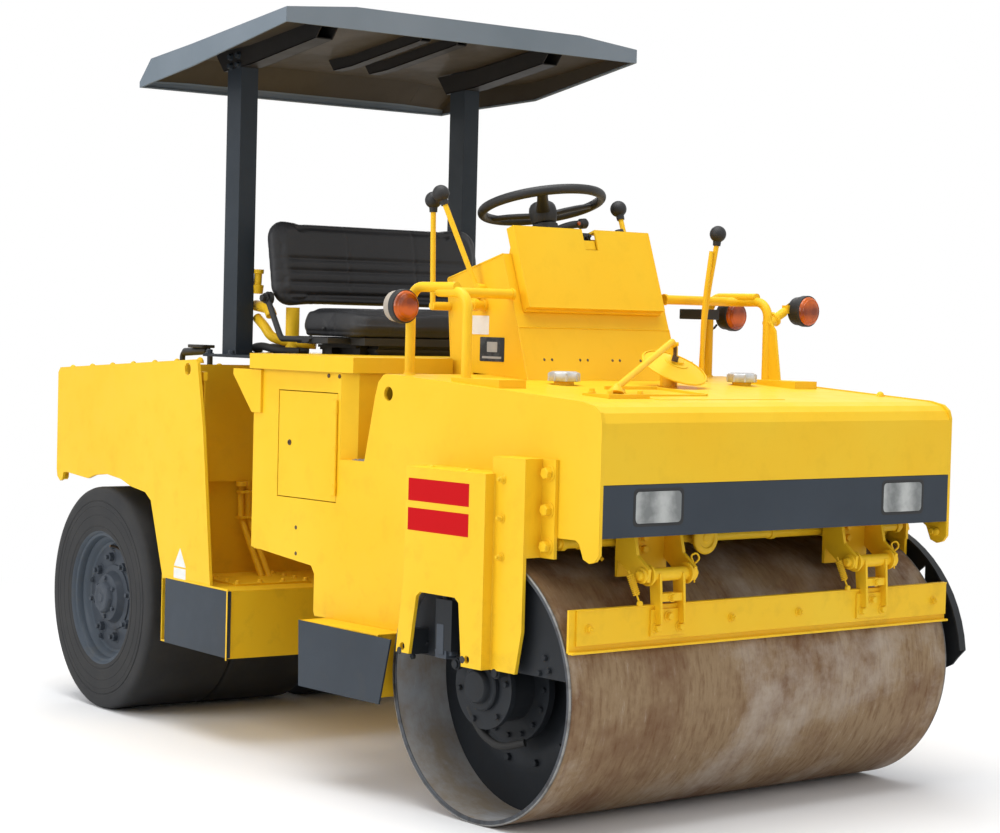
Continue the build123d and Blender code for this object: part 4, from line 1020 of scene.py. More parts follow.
@dataclass
class DrumGear(Assembly):
    """The rolled drum, its turned edges, motors, valves and hoses."""

    z: float = 350.0  # height of the axis
    radius: float = 350.0  # radius of the drum
    half: float = 700.0  # half of its length
    shell: float = 14.0  # thickness of its plate
    head: float = 520.0  # face of the dished head
    edge: float = 4.0  # width of the bright edge
    plate: float = 680.0  # outer face of the plate that carries the motor
    # X and Z from the axis of the screws round that plate
    screws: tuple[Flat, ...] = (
        (-285, 40), (-285, 70), (-230, 82), (-60, 82), (95, 82), (215, 60), (235, 100), (250, 70),
    )

    def at(self, side: Side, dx: float, y: float, dz: float) -> Point:
        """A point from the axis, at a distance out to one side."""
        return DRUM_X + dx, side.y(y), self.z + dz

    def build(self) -> None:
        """Turn the drum, and fit motors, valves and hoses."""
        paint(HUB_PAINT, "drum_hubs")
        self.barrel("drum_shell", self.radius - 5, self.radius, DRUM_PLATE, ["drum"])
        self.barrel("drum_lining", self.radius - self.shell, self.radius - 4.5, DRUM_INSIDE)
        for side in Side:
            self.end(side)
            self.motor(side)
            self.valve(side)
            hose = Stock()
            run = [(-60, 672, -60), (-20, 672, -120), (60, 672, -150), (120, 640, -130)]
            hose.tube([self.at(side, *place) for place in run], 10, 44)
            hose.piece(f"motor_hoses_{side.word}", HOSE)

    def barrel(
        self, name: str, low: float, high: float, finish: Finish, stands_for: Sequence[str] = ()
    ) -> None:
        """Turn one layer of the drum's plate.

        Args:
            name: The piece's name.
            low: Its inner radius.
            high: Its outer radius.
            finish: Its finish.
            stands_for: CAD nodes it stands for.
        """
        end = self.half - self.edge
        layer = Stock()
        profile = [(-end, low), (-end, high), (end, high), (end, low), (0, low)]
        layer.turn(profile, (DRUM_X, 0, self.z), ACROSS, 160, looped=True)
        layer.piece(name, finish, body=Body.DRUM, replaces=stands_for, sharp=30)

    def end(self, side: Side) -> None:
        """Turned rim, corner with a painted highlight, and bolted head of one end."""
        base = self.at(side, 0, self.half - self.edge, 0)
        inner, outer, edge = self.radius - self.shell, self.radius, self.edge
        rim = Stock()
        ring = [(0, inner), (0, outer - 3), (edge - 0.5, outer - 3)]
        ring += [(edge - 0.5, inner + 1.5), (edge - 2, inner)]
        rim.turn(ring, base, side.out, 160, looped=True)
        rim.piece(f"drum_rim_{side.word}", DRUM_EDGE, body=Body.DRUM, sharp=30)
        # lighter corner ring: painted highlight along the drum's edge
        corner = Stock()
        ring = [(-3, outer - 4), (-3, outer), (edge - 1.5, outer), (edge, outer - 1.5), (edge, outer - 4)]
        corner.turn(ring, base, side.out, 160, looped=True)
        corner.piece(f"drum_corner_{side.word}", DRUM_CORNER, body=Body.DRUM, sharp=30)
        head = Stock()
        dish = [
            (-2, inner + 1), (10, inner + 1), (14, inner - 8), (14, 250), (22, 236), (22, 180), (14, 168),
            (14, 97), (40, 95), (40, 62), (-30, 62), (-30, 95), (-2, 97),
        ]
        head.turn(dish, self.at(side, 0, self.head, 0), side.out, 96, looped=True)
        for place in ring_of(self.at(side, 0, self.head + 22, 0), 208, 12, 15):
            head.bolt(place, side.out, 18, washer=False)
        head.piece(f"drum_head_{side.word}", HUB_PAINT, 0.8, body=Body.DRUM, slot=Slot.DRUM)

    def motor(self, side: Side) -> None:
        """Bolts of the motor's flange and plate, and its cover with two ports."""
        bolts = Stock()
        seats = [(place, 13) for place in ring_of(self.at(side, 0, 590, 0), 132, 16)]
        seats += [(place, 14) for place in ring_of(self.at(side, 0, self.plate, 0), 92, 6, 10)]
        seats += [(self.at(side, dx, self.plate, dz), 14) for dx, dz in self.screws]
        for place, across in seats:
            bolts.bolt(place, side.out, across, washer=False)
        bolts.piece(f"hub_bolts_{side.word}", HUB_PAINT, 0.4)
        cover = Stock()
        steps = [(0, 62), (10, 62), (14, 58), (14, 44), (26, 42), (30, 38), (30, 0)]
        cover.turn(steps, self.at(side, 0, self.plate, 0), side.out, 48)
        for dx, dz in ((-74.8, 48.0), (81.6, 44.8)):
            port = [(0, 12), (20, 12), (20, 15), (30, 15), (30, 11), (36, 11)]
            cover.turn(port, self.at(side, dx, self.plate, dz), side.out, 24)
        cover.piece(f"hub_cover_{side.word}", HUB_PAINT, 0.6)

    def valve(self, side: Side) -> None:
        """Valve block behind the leg: body, lid, screws, spool and drain pipe."""
        x, y, z = DRUM_X - 120, side.y(706), 457.0
        valve = Stock().slab(plaque((x, z), 22, 49, 4), Lay.SIDE, *side.span(690, 724))
        valve.slab(plaque((x, z), 14, 39, 4), Lay.SIDE, *side.span(722, 728))
        for dz in (-33, 29):
            for dx in (-26, 26):
                valve.bolt((x + dx, y, z + dz), side.out, 15, washer=False)
                valve.turn([(-12, 8), (10, 8)], (x + dx, y, z + dz), side.out, 20)
        spool = [(0, 15), (10, 15), (11, 19), (30, 19), (31, 15), (46, 12), (48, 9), (84, 9)]
        valve.turn(spool, (x - 4, y, z + 47), UP, 28)
        valve.tube([(x + 26, y, z + 13), (x + 38, y, z + 43), (x + 30, y, z + 123)], 7, 26)
        valve.piece(f"valve_block_{side.word}", VALVE_PAINT, 0.8)


@dataclass
class Console(Assembly):
    """Dash console with its rivets, folds, boss, lid and blank plates."""

    half: float = 286.0  # outer face of the console
    low: Flat = (618.0, 1255.0)  # X and Z of the face's lower edge
    high: Flat = (547.0, 1456.0)  # X and Z of the face's upper edge
    # Lower and upper edge of the lid along the face, its depth and half width
    lid: Quad = (48.0, 286.0, 30.0, 256.0)
    rivets: tuple[float, ...] = (-212.0, -184.0, -80.0, -52.0, 42.0, 70.0, 150.0)  # Y of each rivet
    row: float = 92.0  # distance of the rivets down the console's foot
    fall: Flat = (63.0, -195.0)  # run and drop of that foot, forward of the sloping face
    boss: Flat = (472.0, 1313.0)  # X and Z of the lever's boss on the right side
    latch: Flat = (-2.0, 46.0)  # Y from and to of the notch in the lid
    label: Flat = (454.0, 1258.0)  # X and Z of the paper label's middle
    plate: Flat = (511.0, 1191.5)  # X and Z of the etched plate's middle

    def build(self) -> None:
        """Paint the console and lid, and add its trim and plates."""
        paint(YELLOW, "console", "dash_lid")
        self.trim()
        self.side_boss()
        self.lid_trim()
        self.plates()

    def face(self, along: float, out: float) -> Flat:
        """X and Z of a point on the sloping face: up along it, and out from it."""
        run, rise = self.high[0] - self.low[0], self.high[1] - self.low[1]
        size = math.hypot(run, rise)
        x, z = self.low
        return x + (run * along + rise * out) / size, z + (rise * along - run * out) / size

    def strip(self, along: Flat, out: Flat) -> list[Flat]:
        """A rectangle's outline laid along the sloping face."""
        return [self.face(*place) for place in corners_of(along, out)]

    def trim(self) -> None:
        """Rivets across the foot of the face, and folded edges round the console."""
        rivets = Stock()
        slope = Vector((self.fall[0], 0, self.fall[1])).normalized()
        foot = Vector((self.low[0], 0, self.low[1])) + slope * self.row
        for y in self.rivets:
            rivets.dome((foot.x, y, foot.z), (-slope.z, 0, slope.x), 4.2, 1.6, 4, 14)
        rivets.piece("console_rivets", BOLT)
        folds = Stock()
        x, z = self.low[0] - 1, self.low[1]
        for side in Side:
            y = side.y(self.half - 1.5)
            for start, end in (((x, z), (680, 1062)), ((310, 1387), (545, 1454)), ((309, 1386), (342, 1040))):
                folds.tube([(start[0], y, start[1]), (end[0], y, end[1])], 3.2, sides=8)
        folds.tube([(x, -self.half, z), (x, self.half, z)], 3.0, sides=8)
        folds.piece("console_folds", YELLOW)

    def side_boss(self) -> None:
        """The stepped boss that carries a lever on the right side, and a plug beside it."""
        x, z = self.boss
        y, out = -self.half, Side.RIGHT.out
        boss = Stock()
        collar = [(0, 17), (8, 17), (9, 13), (26, 13), (27, 17), (46, 17)]
        nose = [(47, 12), (56, 12), (57, 9), (57, 0)]
        boss.turn(collar + nose, (x, y, z), out, 28)
        boss.bolt((x, y - 30, z), out, 22, washer=False)
        boss.turn([(0, 10), (12, 10), (13, 6), (13, 0)], (x - 28, y, z + 17), out, 20)
        boss.piece("console_boss", YELLOW, 0.4)

    def lid_trim(self) -> None:
        """Sill and switches seen through the lid's notch, and the lid's folded flanges."""
        start, end, deep, half = self.lid
        latch = Stock().slab(self.strip((end - 58, end - 30), (deep - 22, deep - 8)), Lay.SIDE, *self.latch)
        latch.piece("lid_latch", YELLOW, 1.2)
        dark = Stock().slab(self.strip((end - 30, end - 2), (2, 8)), Lay.SIDE, *self.latch)
        x, z = self.face(end - 16, 8)
        for y in (10, 32):
            dark.turn([(0, 8), (8, 8), (9, 5), (16, 5), (17, 0)], (x, y, z), (0.94, 0, 0.33), 20)
        dark.piece("dash_switches", PLASTIC, 0.6)
        lid = Stock()
        for side in Side:
            flange = self.strip((start + 1, end), (2, deep + 0.8))
            lid.slab(flange, Lay.SIDE, *side.span(half - 4, half + 0.8))
        lid.slab(self.strip((start - 1, start + 3), (deep - 6, deep + 1)), Lay.SIDE, -half, half)
        lid.piece("lid_flanges", YELLOW, 1.4, body=Body.LID)

    def plates(self) -> None:
        """A blank paper label and a blank etched plate on the right side."""
        y = -self.half
        label = Stock().slab(plaque(self.label, 41, 26, 3), Lay.SIDE, y - 0.8, y + 0.2)
        label.piece("console_label", LABEL)
        x, z = self.plate
        plate = Stock().slab(plaque(self.plate, 52, 33.5, 3), Lay.SIDE, y - 1.2, y + 0.2)
        for dx in (-47, 47):
            for dz in (-28.5, 28.5):
                plate.dome((x + dx, y - 1.2, z + dz), Side.RIGHT.out, 2.2, 1.4, 3, 10)
        plate.piece("console_plate", PLATE)
        field = Stock().slab(plaque((x + 1, z + 6.5), 22, 14, 2), Lay.SIDE, y - 1.7, y - 1.0)
        field.slab(plaque((x, z - 22.5), 41, 3, 1), Lay.SIDE, y - 1.7, y - 1.0)
        field.piece("console_plate_field", PLATE_FIELD)


@dataclass
class Steering(Assembly):
    """Steering wheel on its column, with the shroud, the turn stalk and the dash knob."""

    wheel: Point = (375.0, 0.0, 1606.0)  # middle of the steering wheel
    reach: float = 187.0  # outer radius of its rim
    grip: float = 14.0  # half the thickness of its rim
    tilt: float = 14.0  # tilt of the column in degrees
    spokes: Point = (-40.0, 80.0, 200.0)  # angle of each spoke from straight ahead
    knob: Point = (500.0, 204.0, 1484.0)  # foot of the knob on the dash

    def down(self, distance: float) -> Point:
        """A point on the column's axis, measured down from the wheel's middle."""
        a = math.radians(self.tilt)
        x, y, z = self.wheel
        return x + distance * math.sin(a), y, z - distance * math.cos(a)

    def build(self) -> None:
        """Mould the wheel, and add its shaft, shroud, stalk and knob."""
        paint(PLASTIC, "steering_column")
        below = Vector(self.down(1)) - Vector(self.wheel)
        self.moulding(-below)
        shaft = Stock().turn([(54, 10), (132, 10)], self.wheel, below, 24)
        shaft.piece("wheel_shaft", CHROME, body=Body.STEERING)
        shroud = Stock()
        rows = [(58, 34), (60, 38), (96, 40), (98, 44), (140, 47), (142, 52), (176, 55), (196, 55)]
        shroud.turn([*rows, (196, 30), (62, 27), (58, 27)], self.wheel, below, 40, looped=True)
        shroud.piece("column_shroud", PLASTIC, 1.0)
        self.stalk()
        knob = Stock()
        knob.turn([(0, 6), (40, 6), (42, 13), (52, 15), (60, 12), (63, 0)], self.knob, (-0.3, 0, 1), 24)
        knob.piece("dash_knob", PLASTIC)

    def moulding(self, up: Vector) -> None:
        """Oval rim, three tapering spokes and the hub.

        Args:
            up: Direction of the column, as a unit vector.
        """
        left = Vector(ACROSS)
        ahead = left.cross(up).normalized()
        ring = self.reach - self.grip
        turns = [math.tau * i / 18 for i in range(18)]
        oval = [(self.grip * math.sin(t), ring + (self.grip - 0.5) * math.cos(t)) for t in turns]
        rim = Stock().turn(oval, self.wheel, up, 120, looped=True)
        sides = [math.tau * i / 14 for i in range(14)]
        for angle in (math.radians(spoke) for spoke in self.spokes):
            out = ahead * math.cos(angle) + left * math.sin(angle)
            wide = up.cross(out)
            rings = []
            for share in (0.0, 0.15, 0.35, 0.6, 0.85, 1.0):
                reach = 24 + (ring - 24) * share
                sink = 26 * (1 - share) ** 1.4 + 2
                w, t = 19 - 6 * share + 4 * abs(share - 0.5), 9 - 1.5 * share
                centre = Vector(self.wheel) + out * reach - up * sink
                rings.append([centre + wide * (w * math.cos(q)) + up * (t * math.sin(q)) for q in sides])
            rim.skin(rings)
        cap = [(-7, 0), (-7, 18), (-8, 20), (-7, 26), (-2, 33)]
        hub = [(6, 38), (16, 40), (32, 40), (48, 37), (54, 34), (54, 0)]
        rim.turn(cap + hub, self.wheel, -up, 48)
        rim.piece("wheel_moulding", PLASTIC, body=Body.STEERING, replaces=["steering_wheel"], sharp=50)

    def stalk(self) -> None:
        """Turn stalk on the column's left, with an amber telltale on its end."""
        x, _, z = self.down(62)
        stalk = Stock()
        stalk.tube([(x, 34, z - 16), (x + 6, 56, z - 4), (x + 14, 92, z + 8), (x + 18, 134, z + 12)], 11, 30)
        stalk.turn([(0, 11), (4, 15), (22, 15), (28, 10), (28, 0)], (x + 16, 118, z + 11), (0.08, 1, 0.1), 20)
        stalk.piece("column_stalk", PLASTIC)
        Stock().dome((x + 29, 106, z + 12), (1, 0, 0.2), 6, 4).piece("stalk_telltale", AMBER)


@dataclass
class HandLevers(Assembly):
    """Painted bars with moulded ball knobs, their hubs on the console and their rubber boots."""

    # Ball and foot of each lever that rises straight from the console
    levers: tuple[tuple[Point, Point], ...] = (
        ((370.0, -368.0, 1620.0), (466.0, -304.0, 1348.0)),
        ((316.0, -351.0, 1604.0), (318.0, -346.0, 1300.0)),
        ((444.0, 236.0, 1605.0), (505.0, 236.0, 1440.0)),
    )
    # Ball and foot of the bent lever that rises from the hood
    tall: tuple[Point, Point] = ((691.0, 400.0, 1536.0), (657.0, 380.0, 1106.0))
    # X, Z, radius and length of each hub on the console's right side
    hubs: tuple[Quad, ...] = ((466.0, 1356.0, 16.0, 26.0), (318.0, 1308.0, 12.0, 64.0))
    ball: float = 24.0  # radius of a knob
    console: float = 286.0  # outer face of the console

    def build(self) -> None:
        """Bend the bars, and put knobs and boots on them."""
        bars, knobs, boots = Stock(), Stock(), Stock()
        for ball, foot in (*self.levers, self.tall):
            top, base = Vector(ball), Vector(foot)
            along = (top - base).normalized()
            neck = top - along * 30
            path = [base, neck]
            if foot == self.tall[1]:
                path.insert(1, (base + neck) / 2 + Vector((-16, 0, 4)))
            bars.tube(path, 7.5, 90, 20)
            collar = [(-34, 11), (-20, 12), (-19, 10.5)]
            turns = [math.radians(angle) for angle in range(-62, 91, 8)]
            sphere = [(self.ball * math.sin(t), self.ball * math.cos(t)) for t in turns]
            knobs.turn(collar + sphere, top, along, 36)
        for x, z, radius, length in self.hubs:
            bars.turn([(0, radius), (length, radius)], (x, -self.console, z), Side.RIGHT.out, 28)
        x, y, z = self.tall[1]
        bars.tube([(x + 22, y - 16, z), (x + 18, y - 16, z + 200), (x + 26, y + 4, z + 380)], 6.5, 90, 16)
        bars.piece("lever_bars", YELLOW, replaces=["levers"])
        knobs.piece("lever_knobs", PLASTIC, sharp=30)
        folds = [(0, 24), (4, 24), (10, 19), (14, 20), (18, 15), (24, 16), (30, 10), (30, 0)]
        boots.turn(folds, (500, 236, 1452), (-0.33, 0, 1), 28)
        boots.turn(folds, (x, y, z - 4), UP, 28)
        boots.piece("lever_boots", HOSE)


@dataclass
class Rails(Assembly):
    """Hand rails, their foot plates and the amber turn lamps."""

    y: float = 565.0  # centre line of a rail
    feet: tuple[Flat, ...] = ((500.0, 1117.0), (740.0, 1098.0))  # X and Z of a rail's two feet
    tie: Flat = (592.0, 1344.0)  # station and height of the tube that ties a rail to the console
    # Middle of each lamp
    lamps: tuple[Point, ...] = ((532.0, -624.5, 1303.0), (532.0, 624.5, 1303.0), (775.0, 677.0, 1321.0))
    # Start and end of the sloping arm of the third lamp
    arm: tuple[Point, Point] = ((740.0, 565.0, 1281.0), (745.0, 661.0, 1335.0))
    console: float = 286.0  # outer face of the console

    def build(self) -> None:
        """Paint the rails, and build lamps, brackets and leads."""
        paint(YELLOW, "hand_rails")
        self.turn_lamps()
        self.brackets()
        lead = Stock()
        for side in Side:
            y = self.y
            run = [(500, y + 34, 1276), (496, y + 24, 1262), (506, y + 4, 1268), (512, y, 1330)]
            lead.tube([(x, side.y(reach), z) for x, reach, z in run], 3.2, 20, 10)
        lead.piece("lamp_leads", HOSE)
        Stock().box((470, 560), (470, 548), (1290, 1320)).piece("rail_pad", PLASTIC, 2.0)

    def turn_lamps(self) -> None:
        """Ribbed amber lenses in black rims, on putty cups at the right and black ones at the left."""
        lens, body, rim = Stock(), Stock(), Stock()
        for base in self.lamps:
            crown = [(8, 42), (22, 42), (27, 40), (31, 34), (33.5, 24), (33.9, 12), (33.9, 0)]
            lens.turn(crown, base, FORWARD, 24)
            for ring in (34, 26, 17, 9):
                lens.turn([(26, ring + 1.6), (34 - ring * 0.05, ring), (26, ring - 1.6)], base, FORWARD, 24)
            cup = [(-33.9, 0), (-33.9, 26), (-31, 34), (-24, 41), (-4, 43), (8, 43)]
            (rim if base[1] > 0 else body).turn(cup, base, FORWARD, 40)
            rim.turn([(2, 41), (2, 45.6), (20, 45.6), (22, 43.5), (22, 41)], base, FORWARD, 48, looped=True)
        lens.piece("turn_lamp_lenses", AMBER, sharp=12)
        body.piece("turn_lamp_bodies", LAMP_BODY, 0.5)
        rim.piece("turn_lamp_rims", PLASTIC, 0.5, replaces=["turn_lamps"])

    def brackets(self) -> None:
        """Lamp brackets, collars on the feet and ties, and the third lamp's gusset and arm."""
        fix = Stock()
        for side in Side:
            fix.box((500, 520), side.span(self.y + 8, self.y + 24), (1292, 1312))
            for x, z in self.feet:
                fix.turn([(0, 17), (5, 17), (8, 15)], (x, side.y(self.y), z), UP, 28)
            x, z = self.tie
            fix.turn([(0, 16.5), (8, 16.5)], (x, side.y(self.console), z), side.out, 24)
        gusset = [(752, 1098), (800, 1098), (774, 1262), (750, 1292)]
        fix.slab(gusset, Lay.SIDE, self.y - 4, self.y + 4)
        start, end = self.arm
        fix.turn([(-6, 15), (22, 17), (26, 22), (34, 22)], start, Vector(end) - Vector(start), 28)
        x, y, z = end
        fix.box((x - 8, x + 14), (y - 34, y + 6), (z - 22, z + 2))
        for x, z in ((734, 1107.0), (896, 1097.28)):
            fix.bolt((x, self.y - 44, z), UP, 14)
        fix.piece("rail_fittings", YELLOW, 0.4)


@dataclass
class HoodFittings(Assembly):
    """Filler caps, the round tank cover and the foot of its stay."""

    shell: FrontShell  # the front shell whose hood they stand on
    caps: tuple[Flat, ...] = ((800.0, -275.0), (800.0, 403.0))  # X and Y of the two fillers
    sides: int = 8  # ribs round a filler cap
    tank: Flat = (855.0, 80.0)  # X and Y of the round cover
    cover: Point = (94.0, 60.0, 28.0)  # its radius, its height over the hood, and its tilt in degrees
    foot: Flat = (1140.0, -400.0)  # X and Y of the stay's foot

    def build(self) -> None:
        """Cast the caps, and add the cover's bead, screws and clip."""
        paint(YELLOW, "tank_cap")
        self.fillers()
        self.tank_cover()
        self.stay()

    def fillers(self) -> None:
        """Cast caps with upright ribs, on painted necks."""
        cap, neck = Stock(), Stock()
        for x, y in self.caps:
            z = self.shell.top(x)
            neck.turn([(-8, 27), (9, 27), (9, 0)], (x, y, z), UP, 36)
            crown = [(9, 32), (9, 42), (11, 43.5), (29, 43.5), (33, 41), (34, 36), (36, 33), (36, 0)]
            cap.turn(crown, (x, y, z), UP, self.sides, spin=12)
            for px, py in arc((x, y), 40.5, 12, 372, self.sides)[:-1]:
                cap.tube([(px, py, z + 9.5), (px, py, z + 31)], 3.6, sides=12)
        cap.piece("filler_cap_tops", ALLOY, 1.0, replaces=["filler_caps"])
        neck.piece("filler_necks", YELLOW)

    def tank_cover(self) -> None:
        """Rolled bead round the tilted cover, and the boss in its middle."""
        x, y = self.tank
        reach, up, tilt = self.cover
        lean = math.radians(tilt)
        out = (math.sin(lean), 0, math.cos(lean))
        seat = (x, y, self.shell.top(x) + up - 8)
        bead = Stock()
        rolled = [(-1.5, reach - 3), (-1.5, reach + 0.8), (1.5, reach + 1.8), (4, reach - 1), (4, reach - 4)]
        bead.turn(rolled, seat, out, 72, looped=True)
        bead.turn([(12, 34), (19, 34), (20, 30), (20, 20), (27, 19), (27, 12)], seat, out, 32)
        bead.piece("tank_cover_bead", YELLOW)

    def stay(self) -> None:
        """Screws and socket at the stay's foot, its pin at the cover, and the cover's clip."""
        x, y = self.foot
        screws = Stock()
        for dx, dy in ((-34, -52), (34, -52), (-34, 52), (34, 52)):
            screws.bolt((x + dx, y + dy, self.shell.top(x + dx) + 8), UP, 13)
        socket = [(-4, 21), (4, 20), (12, 13), (20, 10)]
        screws.turn(socket, (x, y, self.shell.top(x) + 12), (-0.3, 0.35, 1), 24)
        x, y = self.tank
        z = self.shell.top(x)
        screws.turn([(-16, 6), (16, 6)], (x + 30, y - 38, z + 118), (0.5, 1, 0), 14)
        screws.piece("cover_stay_screws", YELLOW)
        clip = Stock()
        clip.tube([(x + 22, y - 20, z + 112), (x + 20, y - 18, z + 84), (x + 4, y - 10, z + 66)], 5, 10, 12)
        clip.turn([(0, 9), (16, 9)], (x + 18, y - 18, z + 70), (0.2, 0.2, 1), 16)
        clip.piece("cover_clip", BOLT)


@dataclass
class Scraper(Assembly):
    """Blade with its wear strip, hinges, springs and clips."""

    hinge: Flat = (1322.0, 652.0)  # X and Z of the hinge pin
    arm: float = 380.0  # Y of each hinge's middle
    half: float = 698.0  # half of the blade's length
    front: float = 1318.0  # front face of the back plate
    blade: Flat = (474.0, 578.0)  # lower and upper edge of the blade
    bolts: Quad = (-640.0, -150.0, 100.0, 640.0)  # Y of each bolt along the blade
    coils: int = 11  # turns of a spring
    # X, distance from the hinge's middle, and Z of a spring's two ends
    anchors: tuple[Point, Point] = ((1306.0, -116.0, 664.0), (1330.0, -98.0, 584.0))

    def build(self) -> None:
        """Paint brackets and blade, and add strip, bolts, springs and clips."""
        paint(YELLOW, "scraper", "scraper_brackets")
        self.wear_strip()
        self.blade_bolts()
        self.hinges()
        self.springs()

    def wear_strip(self) -> None:
        """Wear strip on the blade's face, its thick lower lip and the fold along its top."""
        strip = Stock()
        low, high = self.blade
        x = self.front
        strip.box((x - 1, x + 6), (-self.half + 20, self.half - 2), (low + 16, high - 1))
        strip.box((x - 3, x + 14), (-self.half, self.half), (low - 3, low + 3))
        fold = corners_of((x - 2, x + 8), (high - 4, high))
        strip.slab(fold, Lay.SIDE, -self.half + 20, self.half - 2)
        strip.piece("scraper_strip", YELLOW, 1.0, body=Body.SCRAPER)

    def blade_bolts(self) -> None:
        """Bolts along the blade, and the bolted pads under both hinges."""
        bolts = Stock()
        x = self.front
        for y in self.bolts:
            bolts.bolt((x + 6, y, 530), FORWARD, 15, stud=5)
        for side in Side:
            middle = side.y(self.arm)
            for dy, z in ((-40, 520), (40, 520), (0, 548)):
                bolts.bolt((x + 12, middle + dy, z), FORWARD, 17)
            bolts.box((x - 2, x + 12), (middle - 58, middle + 58), (500, 566))
            bolts.bolt((x + 24, middle, 596), FORWARD, 15)
            bolts.box((x - 6, x + 24), (middle - 38, middle + 38), (586, 606))
        bolts.piece("scraper_bolts", YELLOW, 0.6, body=Body.SCRAPER)

    def hinges(self) -> None:
        """Washers, pin ends, bracket bolts and a spring clip at both hinges."""
        x, z = self.hinge
        gear = Stock()
        for side in Side:
            middle = side.y(self.arm)
            for end in Side:
                face = (x, middle + end.y(84), z)
                gear.turn([(0, 20), (5, 20), (6, 18), (6, 0)], face, end.out, 30)
                gear.turn([(5, 12), (14, 12), (17, 9), (17, 0)], face, end.out, 24)
                ring = [(-3, 24), (-3, 27), (3, 27), (3, 24)]
                gear.turn(ring, (x, middle + end.y(66), z), ACROSS, 30)
            for height in (706, 736):
                gear.bolt((1232, middle, height), FORWARD, 18)
            loop = [(0, 96, 22), (6, 108, 34), (2, 100, 50), (-8, 88, 42), (-2, 96, 20), (0, 96, -26)]
            gear.tube([(x + dx, middle + dy, z + dz) for dx, dy, dz in loop], 2.6, 10, 8)
        gear.piece("scraper_hinge_gear", YELLOW, 0.4)

    def springs(self) -> None:
        """A coiled spring with two straight hooks beside each hinge."""
        springs = Stock()
        steps = self.coils * 10
        for side in Side:
            offset = Vector((0, side.y(self.arm), 0))
            start, end = (Vector(anchor) + offset for anchor in self.anchors)
            along = (end - start).normalized()
            across, other = square_to(along)
            coil = []
            for share in (i / steps for i in range(steps + 1)):
                a = math.tau * self.coils * share
                out = (across * math.cos(a) + other * math.sin(a)) * 8
                coil.append(start + (end - start) * (0.12 + 0.62 * share) + out)
            springs.tube(coil, 1.9, sides=7)
            springs.tube([start, start + along * 14], 2.4, sides=8)
            springs.tube([start + (end - start) * 0.72, end], 2.4, sides=8)
            springs.turn([(-4, 7), (4, 7)], end, FORWARD, 16)
        springs.piece("scraper_springs", YELLOW, body=Body.SCRAPER)


# ---------------------------------------------------------------- seat and canopy
def puffed(pad: bpy.types.Object, pressure: float = 4.0, cap: float = 12.0, voxel: float = 6.0) -> None:
    """Swell a closed pad like stuffed cloth, and give back most of what its corners draw in.

    Args:
        pad: The pad's object, in place.
        pressure: Air pressure of the cloth.
        cap: Most that a point may move.
        voxel: Size of the remesh.
    """
    steps, kept_in = 20, 0.75
    remesh = pad.modifiers.new("grid", "REMESH")
    remesh.mode = "VOXEL"
    remesh.voxel_size = voxel / METRE * 1
    apply_all(pad)
    rest = [(v.co.copy(), v.normal.copy()) for v in pad.data.vertices]
    cloth = pad.modifiers.new("cloth", "CLOTH")
    cloth.settings.use_pressure = True
    cloth.settings.uniform_pressure_force = pressure
    cloth.settings.effector_weights.gravity = 0.0
    cloth.settings.quality = 5
    cloth.point_cache.frame_start = 1
    cloth.point_cache.frame_end = steps
    for step in range(1, steps + 1):
        bpy.context.scene.frame_set(step)
    apply_all(pad)
    bpy.context.scene.frame_set(1)
    limit = cap / METRE
    for vertex, (start, out) in zip(pad.data.vertices, rest):
        move = vertex.co - start
        move -= out * min(0.0, move.dot(out)) * kept_in
        vertex.co = start + move * min(1.0, limit / max(move.length, 1e-9))


def apply_all(made: bpy.types.Object) -> None:
    """Turn an object's modifiers into its mesh."""
    bpy.context.view_layer.update()
    graph = bpy.context.evaluated_depsgraph_get()
    mesh = bpy.data.meshes.new_from_object(made.evaluated_get(graph))
    old = made.data
    made.modifiers.clear()
    made.data = mesh
    bpy.data.meshes.remove(old)


def smoothstep(value: float) -> float:
    """Ease from 0 to 1."""
    t = max(0.0, min(1.0, value))
    return t * t * (3 - 2 * t)


def bell(distance: float, width: float) -> float:
    """One at no distance, falling off smoothly to nothing."""
    return math.exp(-((distance / width) ** 2))


